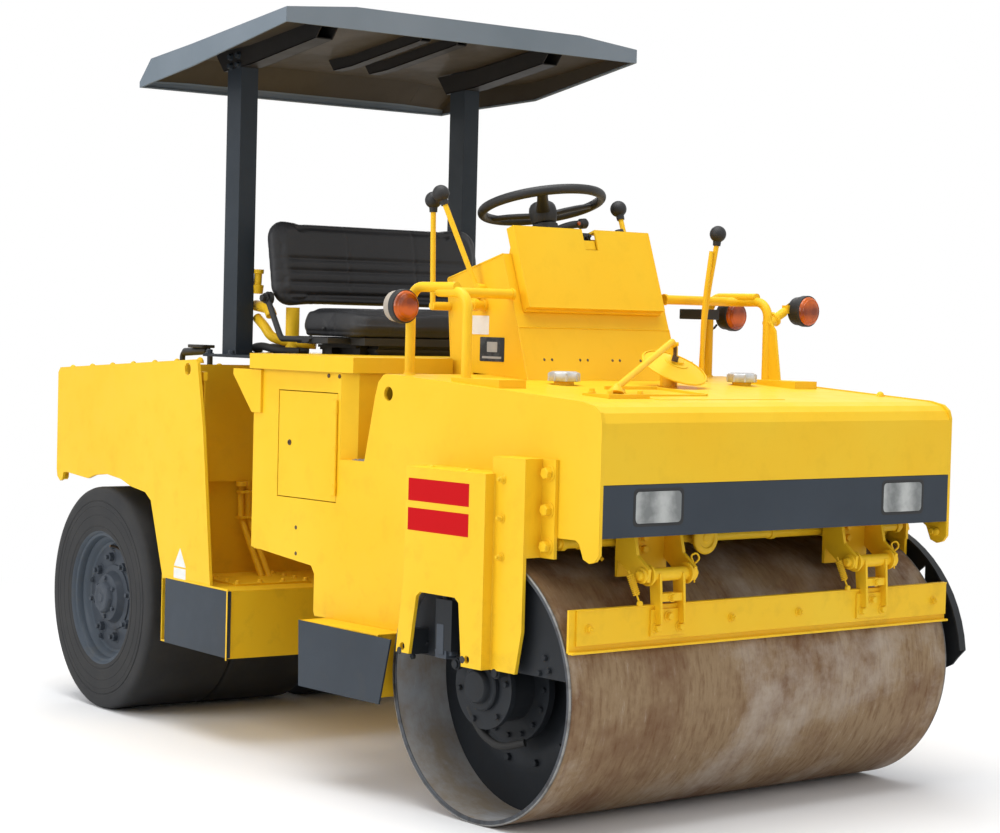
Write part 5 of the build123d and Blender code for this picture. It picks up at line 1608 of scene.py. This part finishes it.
@dataclass
class Seat(Assembly):
    """Bench seat: crowned cushion, channelled backrest and frame."""

    # X from and to, half width, and Z from and to
    cushion: tuple[float, ...] = (-288.0, 27.0, 388.0, 1213.0, 1293.0)
    dents: float = 190.0  # distance of the two sitting dents from the middle
    # X of the front face at its foot and head, depth, half width, Z from and to
    back: tuple[float, ...] = (-352.0, -398.0, 60.0, 408.0, 1298.0, 1560.0)
    channels: Quad = (1338.0, 1374.0, 1410.0, 1446.0)  # heights of the sewn channels on the backrest
    seams: Flat = (-130.0, 130.0)  # Y of its upright seams
    edge: float = 40.0  # distance of the piping's seam from the backrest's end
    belly: float = 1480.0  # height of the backrest's fullest line

    def build(self) -> None:
        """Sew both pads, and add the frame's fittings."""
        paint(PLASTIC, "seat_frame")
        self.make_cushion()
        self.make_back()
        self.suspension()
        self.stays()

    def stuffed(self, name: str, rings: Sequence[Sequence[Point]], stands_for: str) -> bpy.types.Object:
        """Skin a pad's rings and swell it.

        Args:
            name: The piece's name.
            rings: Its sections, from one end to the other.
            stands_for: The CAD node it stands for.

        Returns:
            The pad's object.
        """
        pad = Stock().skin(rings).piece(name, VINYL, replaces=[stands_for])
        puffed(pad)
        return pad

    def sewn(self, pad: bpy.types.Object) -> None:
        """Smooth a pad once more after its seams are drawn in, and give it the vinyl where it has no
        material.
        """
        round_off = pad.modifiers.new("round", "SUBSURF")
        round_off.levels = round_off.render_levels = 1
        pad.data.polygons.foreach_set("use_smooth", [True] * len(pad.data.polygons))
        if not pad.data.materials:
            pad.data.materials.append(VINYL.material())

    def make_cushion(self) -> None:
        """A crowned bench with two dents, a low seam and a rounded, drooping front edge."""
        x0, x1, half, z0, z1 = self.cushion
        middle = (x0 + x1) / 2
        outline = rounded(x0 + 5, x1 - 8, -half + 5, half - 5, 46, 8)
        rings = []
        for t in (i / 12 for i in range(13)):
            z = z0 + 2 + (z1 - z0 - 12) * t
            pull = 12 * (1 - math.sin(math.pi * min(1.0, 0.2 + t * 0.75)))
            deep, wide = 1 - pull / 150, 1 - pull / 400
            rings.append([(middle + (x - middle) * deep, y * wide, z) for x, y in outline])
        pad = self.stuffed("seat_cushion_pad", rings, "seat_cushion")
        for vertex in pad.data.vertices:
            x, y, z = vertex.co * METRE - AWAY
            crown = (1 - (y / half) ** 2) * 6
            droop = 14 * smoothstep((x - x1 + 80) / 80)
            dip = 5 * bell(abs(y) - self.dents, 80)
            z += smoothstep((z - z0 - 30) / 20) * (crown - droop - dip)
            seam = bell(z - z0 - 14, 4.0) * 3.5
            out = Vector((x - middle, y * 0.4, 0)).normalized()
            x, y = x - out.x * seam, y - out.y * seam
            held = Vector((min(max(x, x0 - 2), x1 + 5), y, min(max(z, z0), z1 + 7)))
            vertex.co = (held + AWAY) / METRE
        self.sewn(pad)
        button = Stock()
        for side in Side:
            button.dome((-150, side.y(half - 4), 1236), side.out, 6, 4)
        button.piece("cushion_buttons", PLASTIC)

    def front(self, z: float) -> float:
        """X of the backrest's front face at a height."""
        low, high, _, _, z0, z1 = self.back
        return low + (high - low) * (z - z0) / (z1 - z0)

    def groove(self, y: float, z: float) -> float:
        """Depth of the backrest's sewn channels and seams at a point."""
        half = self.back[3]
        level = sum(7.0 * bell(z - height - 0.004 * y, 5.0) for height in self.channels)
        upright = sum(4.0 * bell(y - seam, 4.5) for seam in self.seams)
        piping = 4.5 * bell(abs(y) - half + self.edge, 4.5)
        return level + upright * smoothstep((z - self.channels[0]) / 30) + piping

    def make_back(self) -> None:
        """A tall pad with rounded corners, sewn channels and side boxing."""
        _, _, depth, half, z0, z1 = self.back
        outline = rounded(-half + 4, half - 4, z0 + 3, z1 - 2, 58, 10)
        middle = (z0 + z1) / 2
        rings = []
        for share in (0.0, 0.12, 0.3, 0.5, 0.7, 0.88, 1.0):
            shrink = 1 - 0.05 * (abs(share - 0.5) * 2) ** 3
            shrunk = [(y * shrink, middle + (z - middle) * shrink) for y, z in outline]
            rings.append([(self.front(z) - 8 - (depth - 16) * share, y, z) for y, z in shrunk])
        pad = self.stuffed("seat_back_pad", rings, "seat_back")
        for vertex in pad.data.vertices:
            x, y, z = vertex.co * METRE - AWAY
            x = min(x, self.front(z) + 7)
            facing = smoothstep((x - self.front(z) + 26) / 16)
            inner = max(smoothstep((half - self.edge - 6 - abs(y)) / 14), 0.25)
            belly = 3.0 * bell(z - self.belly, 60) * (1 - (y / half) ** 2)
            x += facing * (belly - self.groove(y, z) * inner)
            held = Vector((max(x, self.front(z) - depth - 4), y, min(z, z1 + 6)))
            vertex.co = (held + AWAY) / METRE
        self.sewn(pad)

    def suspension(self) -> None:
        """Suspension plates and slides under the cushion, and the bolts of its side tubes."""
        gear = Stock()
        for side in Side:
            gear.bolt((-390, side.y(428), 1322), side.out, 20)
            gear.bolt((-150, side.y(428), 1202), side.out, 16)
            gear.box((-190, -60), side.span(350, 432), (1193, 1209))
            gear.box((-292, -4), side.span(283, 292), (1172, 1180))
            gear.box((-250, -60), side.span(291, 330), (1180, 1188))
            for x in (-230, -90):
                gear.box((x, x + 34), side.span(284, 318), (1157, 1190))
        gear.box((-12, -2), (-300, 300), (1170, 1178))
        gear.piece("seat_suspension", PLASTIC, 0.8)

    def stays(self) -> None:
        """Tubes that carry the backrest, the seat's catch, and the looms behind it."""
        tubes = Stock()
        for side in (Side.RIGHT, Side.LEFT):
            tubes.tube([(-384, side.y(330), 1156), (-384, side.y(330), 1296)], 21, sides=24)
        tubes.tube([(-520, -372, 1300), (-440, -380, 1292), (-424, -380, 1270)], 17, 30, 20)
        lower = [(-500, -380, 1262), (-450, -386, 1236), (-424, -380, 1204)]
        lower += [(-380, -330, 1188), (-330, -280, 1186)]
        tubes.tube(lower, 15, 40, 20)
        catch = [(0, 17), (26, 19), (28, 12), (60, 12), (62, 17), (74, 17)]
        tubes.turn(catch, (-492, -388, 1336), (0.06, 0, 1), 24)
        tubes.piece("seat_stay_tubes", YELLOW)
        loom = Stock()
        thick = [(-560, -330, 1162), (-500, -392, 1172), (-440, -396, 1178)]
        thick += [(-380, -386, 1164), (-330, -340, 1163)]
        loom.tube(thick, 12, 40)
        loom.tube([(-560, -290, 1166), (-480, -340, 1176), (-400, -350, 1172), (-340, -300, 1163)], 10, 40)
        loom.piece("seat_loom", HOSE)


@dataclass
class Canopy(Assembly):
    """Roof pan on two posts, its rim, ribs and beams."""

    # Station, half width, foot of the rim, top of the rim and rise of the middle
    line: tuple[tuple[float, ...], ...] = (
        (40.0, 672.0, 2093.0, 2135.0, 22.0),
        (-442.0, 672.0, 2000.0, 2066.0, 22.0),
        (-767.0, 612.0, 1975.0, 2049.0, 18.0),
        (-850.0, 600.0, 1966.0, 1984.0, 4.0),
    )
    flat: float = 430.0  # half width of the raised middle
    skin: float = 3.0  # thickness of the sheet
    seam: float = -200.0  # station of the seam across the sheet
    posts: Quad = (-560.0, -486.0, 405.0, 466.0)  # X from and to, Y from and to of a post

    def at(self, x: float) -> tuple[float, ...]:
        """Half width, foot, top and rise of the roof at a station."""
        for a, b in zip(self.line, self.line[1:]):
            if x >= b[0]:
                share = (x - a[0]) / (b[0] - a[0])
                return tuple(p + share * (q - p) for p, q in zip(a[1:], b[1:]))
        return self.line[-1][1:]

    def under(self, x: float, y: float) -> float:
        """Height of the sheet's underside at a point."""
        half, _, top, rise = self.at(x)
        edge = half - self.skin
        return top - self.skin + rise * min(1.0, (edge - abs(y)) / (edge - self.flat))

    def build(self) -> None:
        """Paint the posts, and fold the roof with its beams and ribs."""
        paint(POST, "canopy_posts")
        paint(ROOF, "canopy_roof")
        self.liner()
        self.hem()
        self.beams()
        self.bolts()

    def liner(self) -> None:
        """Painted shade under the sheet: a dark umber skin a little over a millimetre thick."""
        thick = 1.2
        rows = []
        for x in (36.0, -442.0, -767.0, -840.0):
            half, low, _, _ = self.at(x)
            edge, lip = half - self.skin - 1, low + 5
            inside = [(y, self.under(x, y) - 0.6) for y in (edge, self.flat, -self.flat, -edge)]
            outer = [(edge, lip), *inside, (-edge, lip)]
            inner = [(edge - thick, lip)]
            for y, z in inside:
                lean = math.copysign(thick, y) if abs(y) > self.flat else 0.0
                inner.append((y - lean, z - thick))
            inner.append((-edge + thick, lip))
            rows.append([(x, y, z) for y, z in outer + inner[::-1]])
        Stock().skin(rows).piece("canopy_underside", UNDERSIDE, sharp=20)

    def hem(self) -> None:
        """The rim's rolled hem, and the seam across the sheet."""
        hem = Stock()
        insets = (-5, 0, 0, 5)
        right = [(row[0] + inset, 5 - row[1], row[2] + 3) for inset, row in zip(insets, self.line)]
        loop = right + [(x, -y, z) for x, y, z in reversed(right)]
        hem.tube(loop + loop[:1], 3.6, sides=8)
        hem.piece("canopy_hem", ROOF)
        seam = Stock()
        top = self.under(self.seam, 0) + self.skin
        seam.box((self.seam - 2, self.seam + 2), (-self.flat, self.flat), (top - 1, top + 0.8))
        seam.piece("canopy_seams", ROOF)

    def channel(self, beam: Stock, y: float, wide: float, ends: Flat, deep: float) -> None:
        """Add a channel under the sheet, following its slope.

        Args:
            beam: The stock it is added to.
            y: Its middle line.
            wide: Its width.
            ends: Its rear and front station.
            deep: Its depth.
        """
        start, end = ends
        folds = sorted(row[0] for row in self.line[1:3])
        stations = [start, *(x for x in folds if start < x < end), end]
        tops = [(x, self.under(x, abs(y) + wide / 2) - 2) for x in stations]
        lows = [(x, z - deep) for x, z in tops]
        lows[0], lows[-1] = (start + deep * 0.8, lows[0][1]), (end - deep * 0.8, lows[-1][1])
        for middle in (y - wide / 2 + 2, y + wide / 2 - 2):
            beam.slab(tops + lows[::-1], Lay.SIDE, middle - 2, middle + 2)
        beam.slab(lows + [(x, z + 4) for x, z in reversed(lows)], Lay.SIDE, y - wide / 2, y + wide / 2)

    def beams(self) -> None:
        """Channel beams over the posts, and two middle ribs."""
        x0, _, y0, y1 = self.posts
        beam = Stock()
        for side in Side:
            self.channel(beam, side.y((y0 + y1) / 2), 62, (x0 - 70, -60), 58)
        for y in (-70, 70):
            self.channel(beam, y, 40, (-560, -70), 34)
        # nearly black channels: painted shade under the roof
        beam.piece("canopy_beams", BEAM_SHADE, 0.8)

    def bolts(self) -> None:
        """Bolts through the posts' heads, and on their foot plates."""
        x0, x1, _, y1 = self.posts
        fix = Stock()
        for side in Side:
            for x in (x0 + 16, x1 - 16):
                for drop in (24, 52):
                    fix.bolt((x, side.y(y1), self.under(x, y1) - drop), side.out, 15)
            for x in (-590, -470, -140):
                fix.bolt((x, side.y(y1 + 26), 1149), UP, 17)
        fix.piece("canopy_bolts", POST, 0.3)


# ---------------------------------------------------------------- rear frame
@dataclass
class RearFrame(Assembly):
    """Tyre frame: plates, recess, bolted floor, pipe clamps, hooks and labels."""

    bulkhead: float = -600.0  # X of the wall behind the recess
    floor: float = 461.0  # height of the low box
    rear: float = -1380.0  # rearmost station
    fall: Flat = (53.0, 975.0)  # rise of the plates' upper edge over its whole length, and that length
    plate: Point = (-590.0, -300.0, 6.0)  # X from and to of the bolted floor plate, and its thickness
    clamps: Flat = (640.0, 720.0)  # heights of the two pipe clamps
    # First and last station, and spacing of the screws along the plates
    domes: tuple[int, int, int] = (-1330, -440, 148)
    label: Flat = (-526.0, -450.0)  # X from and to of the blank labels

    def top(self, x: float) -> float:
        """Upper edge of the side plates at a station."""
        rise, run = self.fall
        return 1081 + (x - self.rear) * rise / run

    def build(self) -> None:
        """Paint the frame, and add bolted plates, clamps, straps, hooks, screws and labels."""
        paint(YELLOW, "rear_side_plates", "rear_body", "rear_chassis", "rear_pipes")
        paint(GREY, "rear_step_panels")
        paint(CAST, "engine_block")
        self.floor_plates()
        self.pipe_clamps()
        self.straps()
        self.screws()
        self.labels()

    def floor_plates(self) -> None:
        """Bolted floor plates of the recess, with the fold and the bright edge of its step."""
        x0, x1, thick = self.plate
        top = self.floor + thick
        plate = Stock()
        for side in Side:
            plate.box((x0, x1), side.span(300, 560), (self.floor, top))
            seats = [(x, y) for x in (-575, -515, -445, -380, -315) for y in (312, 548)]
            for x, y in [*seats, (-315, 390), (-315, 470)]:
                plate.bolt((x, side.y(y), top), UP, 12)
            plate.box((-186, -178), side.span(HALF + 3.6, HALF + 4.4), (258, 466))
            plate.tube([(-573, side.y(HALF + 1), 464), (-182, side.y(HALF + 1), 464)], 3.5, sides=8)
        plate.piece("recess_floor_plates", YELLOW, 0.5, body=Body.REAR)

    def pipe_clamps(self) -> None:
        """Clamps of the pipes up the recess's wall, and the socket they end in."""
        wall = self.bulkhead
        clamps = Stock()
        for z in self.clamps:
            clamps.box((wall + 5, wall + 40), (-404, -352), (z - 4, z + 4))
            clamps.dome((wall + 40, -378, z), FORWARD, 6, 4)
        clamps.turn([(0, 18), (14, 18), (16, 14)], (wall + 20, -392, 752), (0, 0, -1), 20)
        clamps.piece("pipe_clamps", YELLOW, 0.5, body=Body.REAR)

    def straps(self) -> None:
        """Screwed straps up the inner faces of the plates."""
        strap = Stock()
        reach = HALF - 26
        for side in Side:
            strap.box((-430, -404), side.span(reach - 4, reach), (800, 1090))
            strap.box((-432, -402), side.span(reach - 10, reach + 4), (1070, 1096))
            for z in (830, 940, 1050):
                strap.bolt((-417, side.y(reach), z), side.out, 12, washer=False)
        strap.piece("recess_straps", YELLOW, 0.6, body=Body.REAR)

    def screws(self) -> None:
        """Domed screws along the hood opening, and tow hooks at the rear corners."""
        screws, hooks = Stock(), Stock()
        for side in Side:
            for x in range(*self.domes):
                screws.dome((x, side.y(HALF - 30), self.top(x) - 9), UP, 12, 17)
            ring = [(-8, 17), (8, 17), (8, 14), (-8, 14)]
            hooks.turn(ring, (self.rear + 20, side.y(HALF - 20), 726), ACROSS, 24, looped=True)
        for y in range(-420, 421, 210):
            screws.dome((-690, y, self.top(-690) - 9), UP, 10, 7)
        screws.piece("deck_dome_screws", YELLOW, body=Body.REAR)
        hooks.piece("rear_hooks", YELLOW, body=Body.REAR)

    def labels(self) -> None:
        """A blank white triangle over a blank white plate, on both sides."""
        x0, x1 = self.label
        plate = Stock()
        for side in Side:
            thick = side.span(HALF - 0.3, HALF + 0.8)
            plate.slab([(x0, 504), (x1, 504), ((x0 + x1) / 2, 560)], Lay.SIDE, *thick)
            plate.slab(corners_of((x0, x1), (463, 499)), Lay.SIDE, *thick)
        plate.piece("rear_blank_labels", LABEL, body=Body.REAR)


@dataclass
class EngineHood(Assembly):
    """Hood over the engine with its handle, louvres and hinge, and the vents in the wall below it."""

    frame: RearFrame  # the rear frame whose line it follows
    # Station of the first louvre, their spacing and their number
    louvres: tuple[int, int, int] = (-1260, 40, 9)
    louvre: float = 180.0  # half the length of a louvre
    vents: tuple[int, int, int] = (790, 30, 8)  # height of the lowest vent, their spacing and their number
    vent: float = 300.0  # half the length of a vent

    def build(self) -> None:
        """Paint the lid and handle, and add grip, louvres, hinge knuckles and vents."""
        paint(YELLOW, "engine_hood")
        paint(PLASTIC, "hood_handle")
        self.grip()
        self.cut_louvres()
        knuckle = Stock()
        for y in range(-600, 600, 60):
            knuckle.turn([(2, 6.6), (56, 6.6)], (self.frame.rear + 11.5, y, 1066), ACROSS, 18)
        knuckle.piece("hood_hinge", YELLOW, 0.6, body=Body.HOOD)
        self.cut_vents()

    def grip(self) -> None:
        """Rubber grip and palm plate on the hood's handle."""
        top = self.frame.top
        grip = Stock().tube([(-960, -400, top(-960) + 42), (-806, -400, top(-806) + 42)], 13, sides=20)
        grip.slab(plaque((-850, -400), 50, 26, 10), Lay.PLAN, top(-850) + 52, top(-850) + 62)
        grip.piece("hood_grip", PLASTIC, 2.0, body=Body.HOOD)

    def cut_louvres(self) -> None:
        """Pressed louvres across the lid, open towards the rear, each with a black strip under its lip as
        painted shade.
        """
        first, pitch, count = self.louvres
        rise, run = self.frame.fall
        louvre, slots = Stock(), Stock()
        for x in range(first, first + pitch * count, pitch):
            z = self.frame.top(x) - 9
            back = z + 1 + pitch * rise / run * 0.6
            lip = [(x, z - 1), (x + 26, z - 1), (x + 26, back), (x + 4, z + 9)]
            louvre.slab(lip, Lay.SIDE, -self.louvre, self.louvre)
            # black wedge under the lip: painted shade in the louvre's opening
            slot = [(x - 1, z), (x, z), (x + 3.5, z + 7), (x + 2.5, z + 7)]
            slots.slab(slot, Lay.SIDE, 8 - self.louvre, self.louvre - 8)
        louvre.piece("hood_louvres", YELLOW, 1.0, body=Body.HOOD)
        slots.piece("hood_louvre_slots", PLASTIC, body=Body.HOOD)

    def cut_vents(self) -> None:
        """Lipped vents across the rear wall, with a black strip under each lip as painted shade."""
        first, pitch, count = self.vents
        rear = self.frame.rear
        vents, vent_shade = Stock(), Stock()
        for z in range(first, first + pitch * count, pitch):
            lip = [(rear + 5.5, z + 5), (rear + 0.6, z + 6), (rear + 0.6, z + 9), (rear + 5.5, z + 21)]
            vents.slab(lip, Lay.SIDE, -self.vent, self.vent)
            # black strip under the lip: painted shade in the vent's opening
            vent_shade.box((rear + 4.4, rear + 5.5), (2 - self.vent, self.vent - 2), (z, z + 5.5))
        vents.piece("rear_wall_vents", YELLOW, body=Body.REAR)
        vent_shade.piece("rear_wall_slots", PLASTIC, body=Body.REAR)


@dataclass
class Wheels(Assembly):
    """Twin smooth tyres on dished rims, left and right."""

    axle: Flat = (-1005.0, 355.0)  # X and Z of the axle
    out: float = 667.0  # outer face of the outer tyre
    width: float = 313.5  # width of a tyre
    gap: float = 1.0  # space between the twins
    disc: float = 608.0  # outer face of the wheel disc
    # A tyre's outer wall and shoulder: distance from its face, and radius
    wall: tuple[Flat, ...] = (
        (18, 208), (8, 209), (3, 213), (1.5, 218), (1.5, 226), (3, 228), (2.6, 230), (0.8, 233),
        (0.5, 262), (1.6, 264), (0.5, 266), (0.3, 290), (1.4, 292), (0.3, 294), (0.4, 306), (2.6, 308),
        (2.6, 310), (0.6, 313), (0.5, 330), (1.6, 340), (4, 347), (8, 351.5), (14, 354), (22, 355),
        (110, 355),
    )

    def build(self) -> None:
        """Make tyres, rims, hubs and valves on both sides."""
        for side, body in ((Side.LEFT, Body.LEFT_WHEELS), (Side.RIGHT, Body.RIGHT_WHEELS)):
            self.tyres(side, body)
            self.rim(side, body)
            self.hub(side, body)

    def at(self, side: Side, y: float) -> Point:
        """The point on the axle at a distance out to one side."""
        return self.axle[0], side.y(y), self.axle[1]

    def tyres(self, side: Side, body: Body) -> None:
        """Both tyres of one side, each with a wall on both faces."""
        section = [*self.wall, *((self.width - d * 0.4, r) for d, r in reversed(self.wall))]
        stock = Stock()
        for offset in (0.0, self.width + self.gap):
            inward = (0, -side.value, 0)
            stock.turn(section, self.at(side, self.out - offset), inward, 128, looped=True)
        name = f"tyres_moulded_{side.word}"
        stock.piece(name, TYRE, body=body, replaces=[f"tyres_{side.word}"], sharp=28)

    def rim(self, side: Side, body: Body) -> None:
        """Rolled outer rim with its disc, the inner rim, and the plate between the twins."""
        lip, disc = self.out - 2, self.disc
        inner = self.out - self.width - self.gap
        flange = [
            (lip - 8, 222), (lip - 2, 222), (lip, 219), (lip - 1, 213), (lip - 6, 208), (lip - 12, 205),
            (lip - 14, 198), (lip - 19, 195), (lip - 34, 193), (lip - 38, 186),
        ]
        dish = [(disc + 14, 182), (disc + 6, 176), (disc + 3, 168), (disc + 3, 62), (disc - 10, 62)]
        back = [(disc - 12, 170), (disc - 12, 198), (lip - 300, 200)]
        back += [(lip - 300, 208), (lip - 18, 208), (lip - 10, 214)]
        middle = self.at(side, 0)
        rim = Stock().turn(flange + dish + back, middle, side.out, 112, looped=True)
        rim.turn(corners_of((inner - 300, inner - 8), (200, 207.5)), middle, side.out, 64, looped=True)
        rim.turn(corners_of((120, 132), (60, 204)), middle, side.out, 64, looped=True)
        name = f"rims_rolled_{side.word}"
        rim.piece(name, RIM_PAINT, body=body, replaces=[f"wheels_{side.word}"], sharp=32)

    def hub(self, side: Side, body: Body) -> None:
        """Cast hub with its cap, nuts, studs and the tyre's valve."""
        disc, middle = self.disc, self.at(side, 0)
        hub = Stock().turn(corners_of((disc + 2, disc + 4), (62, 168)), middle, side.out, 96, looped=True)
        boss = [(1, 104), (8, 104), (10, 100), (10, 84), (22, 78), (32, 74), (36, 66), (37, 50), (37, 0)]
        cap = [(35, 52), (50, 50), (55, 45), (56, 34), (54, 30), (54, 16), (57, 13), (57, 0)]
        for profile, sides in ((boss, 64), (cap, 8)):
            hub.turn([(disc + d, r) for d, r in profile], middle, side.out, sides)
        nuts = [(place, 26, True, 10) for place in ring_of(self.at(side, disc + 3), 128, 8, 8)]
        nuts += [(place, 13, False, 0) for place in ring_of(self.at(side, disc + 36), 62, 6, 30)]
        nuts += [(place, 15, True, 4) for place in ring_of(self.at(side, disc + 3), 160, 5, 22)]
        for place, across, washer, stud in nuts:
            hub.bolt(place, side.out, across, washer, stud)
        hub.piece(f"hubs_cast_{side.word}", VALVE_PAINT, 0.8, body=body)
        valve = Stock()
        x, z = self.axle
        run = [(24, 2, 156), (30, 20, 166), (32, 40, 168)]
        valve.tube([(x + dx, side.y(disc + dy), z + dz) for dx, dy, dz in run], 4, 10)
        valve.piece(f"tyre_valve_{side.word}", BOLT, body=body)


@dataclass
class SteeringCylinder(Assembly):
    """Hydraulic cylinder between the frames, its glands and ports."""

    rear: Flat = (-489.64, 365.35)  # X and Y of the pin on the rear frame
    front: Flat = (120.0, 165.0)  # X and Y of the rod's eye
    z: float = 540.0  # height of its axis

    def build(self) -> None:
        """Paint barrel and rod, and add the gland and ports."""
        paint(GREY, "steering_barrel")
        paint(CHROME, "steering_rod")
        start = Vector((*self.rear, self.z))
        along = (Vector((*self.front, self.z)) - start).normalized()
        gland = Stock()
        gland.turn([(0, 32.5), (0, 36), (26, 36), (29, 33), (29, 18)], start + along * 330, along, 40)
        gland.turn([(0, 32.5), (0, 35), (14, 35), (14, 32.5)], start + along * 48, along, 40)
        for reach in (80, 312):
            gland.turn([(28, 12), (44, 12), (44, 9), (52, 9)], start + along * reach, UP, 6)
        gland.piece("cylinder_gland", GREY, 0.6, body=Body.BARREL)


# ---------------------------------------------------------------- studio
@dataclass
class Studio:
    """Pale floor, soft lamps, white surround and the camera."""

    eye: Point = (5596.4, -4541.9, 1265.6)  # the camera's place
    yaw: float = 39.54  # direction it looks, in degrees from straight back
    pitch: float = 2.32  # how far it looks down, in degrees
    roll: float = 1.43  # how far it is rolled, in degrees
    lens: float = 86.4  # focal length on a 36 mm sensor
    shift: Flat = (0.0257, 0.0028)  # framing shift across and up
    aim: float = 0.9  # height that the lamps point at, in metres
    # Name, place and width in metres, and watts of each lamp
    softboxes: tuple[tuple[str, Point, float, float], ...] = (
        ("softbox_top", (0.5, -0.8, 6.5), 6.0, 372.0),
        ("softbox_side", (-1.0, -6.5, 3.4), 4.0, 166.0),
        ("softbox_nose", (6.5, 1.0, 3.6), 4.0, 44.0),
        ("softbox_rear", (-6.0, 4.0, 4.0), 4.0, 120.0),
    )

    def build(self) -> None:
        """Set up everything round the object."""
        self.camera()
        self.surround()
        self.floor()
        self.lamps()
        bpy.context.scene.view_settings.view_transform = "Standard"

    def camera(self) -> None:
        """Create the camera and make it the scene's."""
        yaw, pitch, roll = (math.radians(a) for a in (self.yaw, self.pitch, self.roll))
        level = math.cos(pitch)
        ahead = Vector((-math.cos(yaw) * level, math.sin(yaw) * level, -math.sin(pitch)))
        right = ahead.cross(Vector(UP)).normalized()
        up = right.cross(ahead)
        rolled_right = right * math.cos(roll) + up * math.sin(roll)
        rolled_up = up * math.cos(roll) - right * math.sin(roll)
        data = bpy.data.cameras.new("camera")
        data.lens = self.lens
        data.sensor_width = 36.0
        data.shift_x, data.shift_y = self.shift
        data.clip_end = 60.0
        made = bpy.data.objects.new("camera", data)
        turn = Matrix((rolled_right, rolled_up, -ahead)).transposed().to_4x4()
        made.matrix_world = Matrix.Translation((Vector(self.eye) + AWAY) / METRE) @ turn
        bpy.context.scene.collection.objects.link(made)
        bpy.context.scene.camera = made

    def in_sight(self, tree: Tree) -> Socket:
        """One for light that the camera sees straight or in a reflection, and nought for the rest."""
        path = put(tree, "LightPath").outputs
        return reckon(tree, "ADD", path["Is Camera Ray"], path["Is Glossy Ray"], clamp=True)

    def surround(self) -> None:
        """A soft grey world that shows white to the eye and to reflections."""
        world = bpy.data.worlds.new("surround")
        world.use_nodes = True
        tree = world.node_tree
        tree.nodes.clear()
        through = put(tree, "LightPath").outputs["Is Transmission Ray"]
        seen = reckon(tree, "ADD", self.in_sight(tree), through, clamp=True)
        soft = put(tree, "Background", {"Color": linear("#F4F6FA"), "Strength": 0.6}).outputs[0]
        white = put(tree, "Background", {"Color": linear("#FFFFFF"), "Strength": 1.0}).outputs[0]
        both = put(tree, "MixShader", links={0: seen, 1: soft, 2: white})
        put(tree, "OutputWorld", links={"Surface": both.outputs[0]})
        bpy.context.scene.world = world

    def floor(self) -> None:
        """A large pale floor that melts into white away from the machine."""
        data = bpy.data.meshes.new("floor")
        span = (-30.0, 30.0)
        data.from_pydata([(x, y, 0) for x, y in corners_of(span, span)], [], [(0, 1, 2, 3)])
        made = bpy.data.objects.new("floor", data)
        bpy.context.scene.collection.objects.link(made)
        data.materials.append(self.paper())

    def paper(self) -> bpy.types.Material:
        """Matt white paper, which glows softly once it is some metres from the machine."""
        paper = bpy.data.materials.new("paper_matt_white")
        paper.use_nodes = True
        tree = paper.node_tree
        tree.nodes.clear()
        place = put(tree, "TexCoord").outputs["Object"]
        reach = put(tree, "VectorMath", links={0: place}, operation="LENGTH").outputs["Value"]
        fade = put(
            tree,
            "MapRange",
            {"From Min": 1.6, "From Max": 4.5},
            {"Value": reach},
            interpolation_type="SMOOTHSTEP",
        )
        share = reckon(tree, "MULTIPLY", fade.outputs[0], self.in_sight(tree))
        matt = put(tree, "BsdfDiffuse", {"Color": linear("#F3F3F3")}).outputs[0]
        glow = put(tree, "Emission", {"Color": linear("#FFFFFF"), "Strength": 1.0}).outputs[0]
        both = put(tree, "MixShader", links={0: share, 1: matt, 2: glow})
        put(tree, "OutputMaterial", links={"Surface": both.outputs[0]})
        return paper

    def lamps(self) -> None:
        """Round soft boxes: a large one overhead, and one each at the side, the nose and the rear."""
        aim = Vector((0, 0, self.aim))
        for name, place, size, power in self.softboxes:
            data = bpy.data.lights.new(name, "AREA")
            data.shape = "DISK"
            data.size = size
            data.energy = power
            made = bpy.data.objects.new(name, data)
            turn = (aim - Vector(place)).to_track_quat("-Z", "Y").to_matrix().to_4x4()
            made.matrix_world = Matrix.Translation(place) @ turn
            bpy.context.scene.collection.objects.link(made)


def main() -> None:
    """Build the machine, one sub-assembly after another, and its studio."""
    logging.basicConfig(level=logging.INFO, format="%(message)s")
    shell = FrontShell()
    rear = RearFrame()
    machine: list[Assembly] = [
        shell,
        SeatBox(),
        DrumLegs(),
        DrumGear(),
        Console(),
        Steering(),
        HandLevers(),
        Rails(),
        HoodFittings(shell),
        Scraper(),
        Seat(),
        Canopy(),
        rear,
        EngineHood(rear),
        Wheels(),
        SteeringCylinder(),
    ]
    for assembly in machine:
        before = set(bpy.data.objects)
        assembly.build()
        made = [thing.name for thing in bpy.data.objects if thing not in before]
        LOG.info("%s: %s", type(assembly).__name__, ", ".join(made) or "painted only")
    Studio().build()


if __name__ == "__main__":
    main()
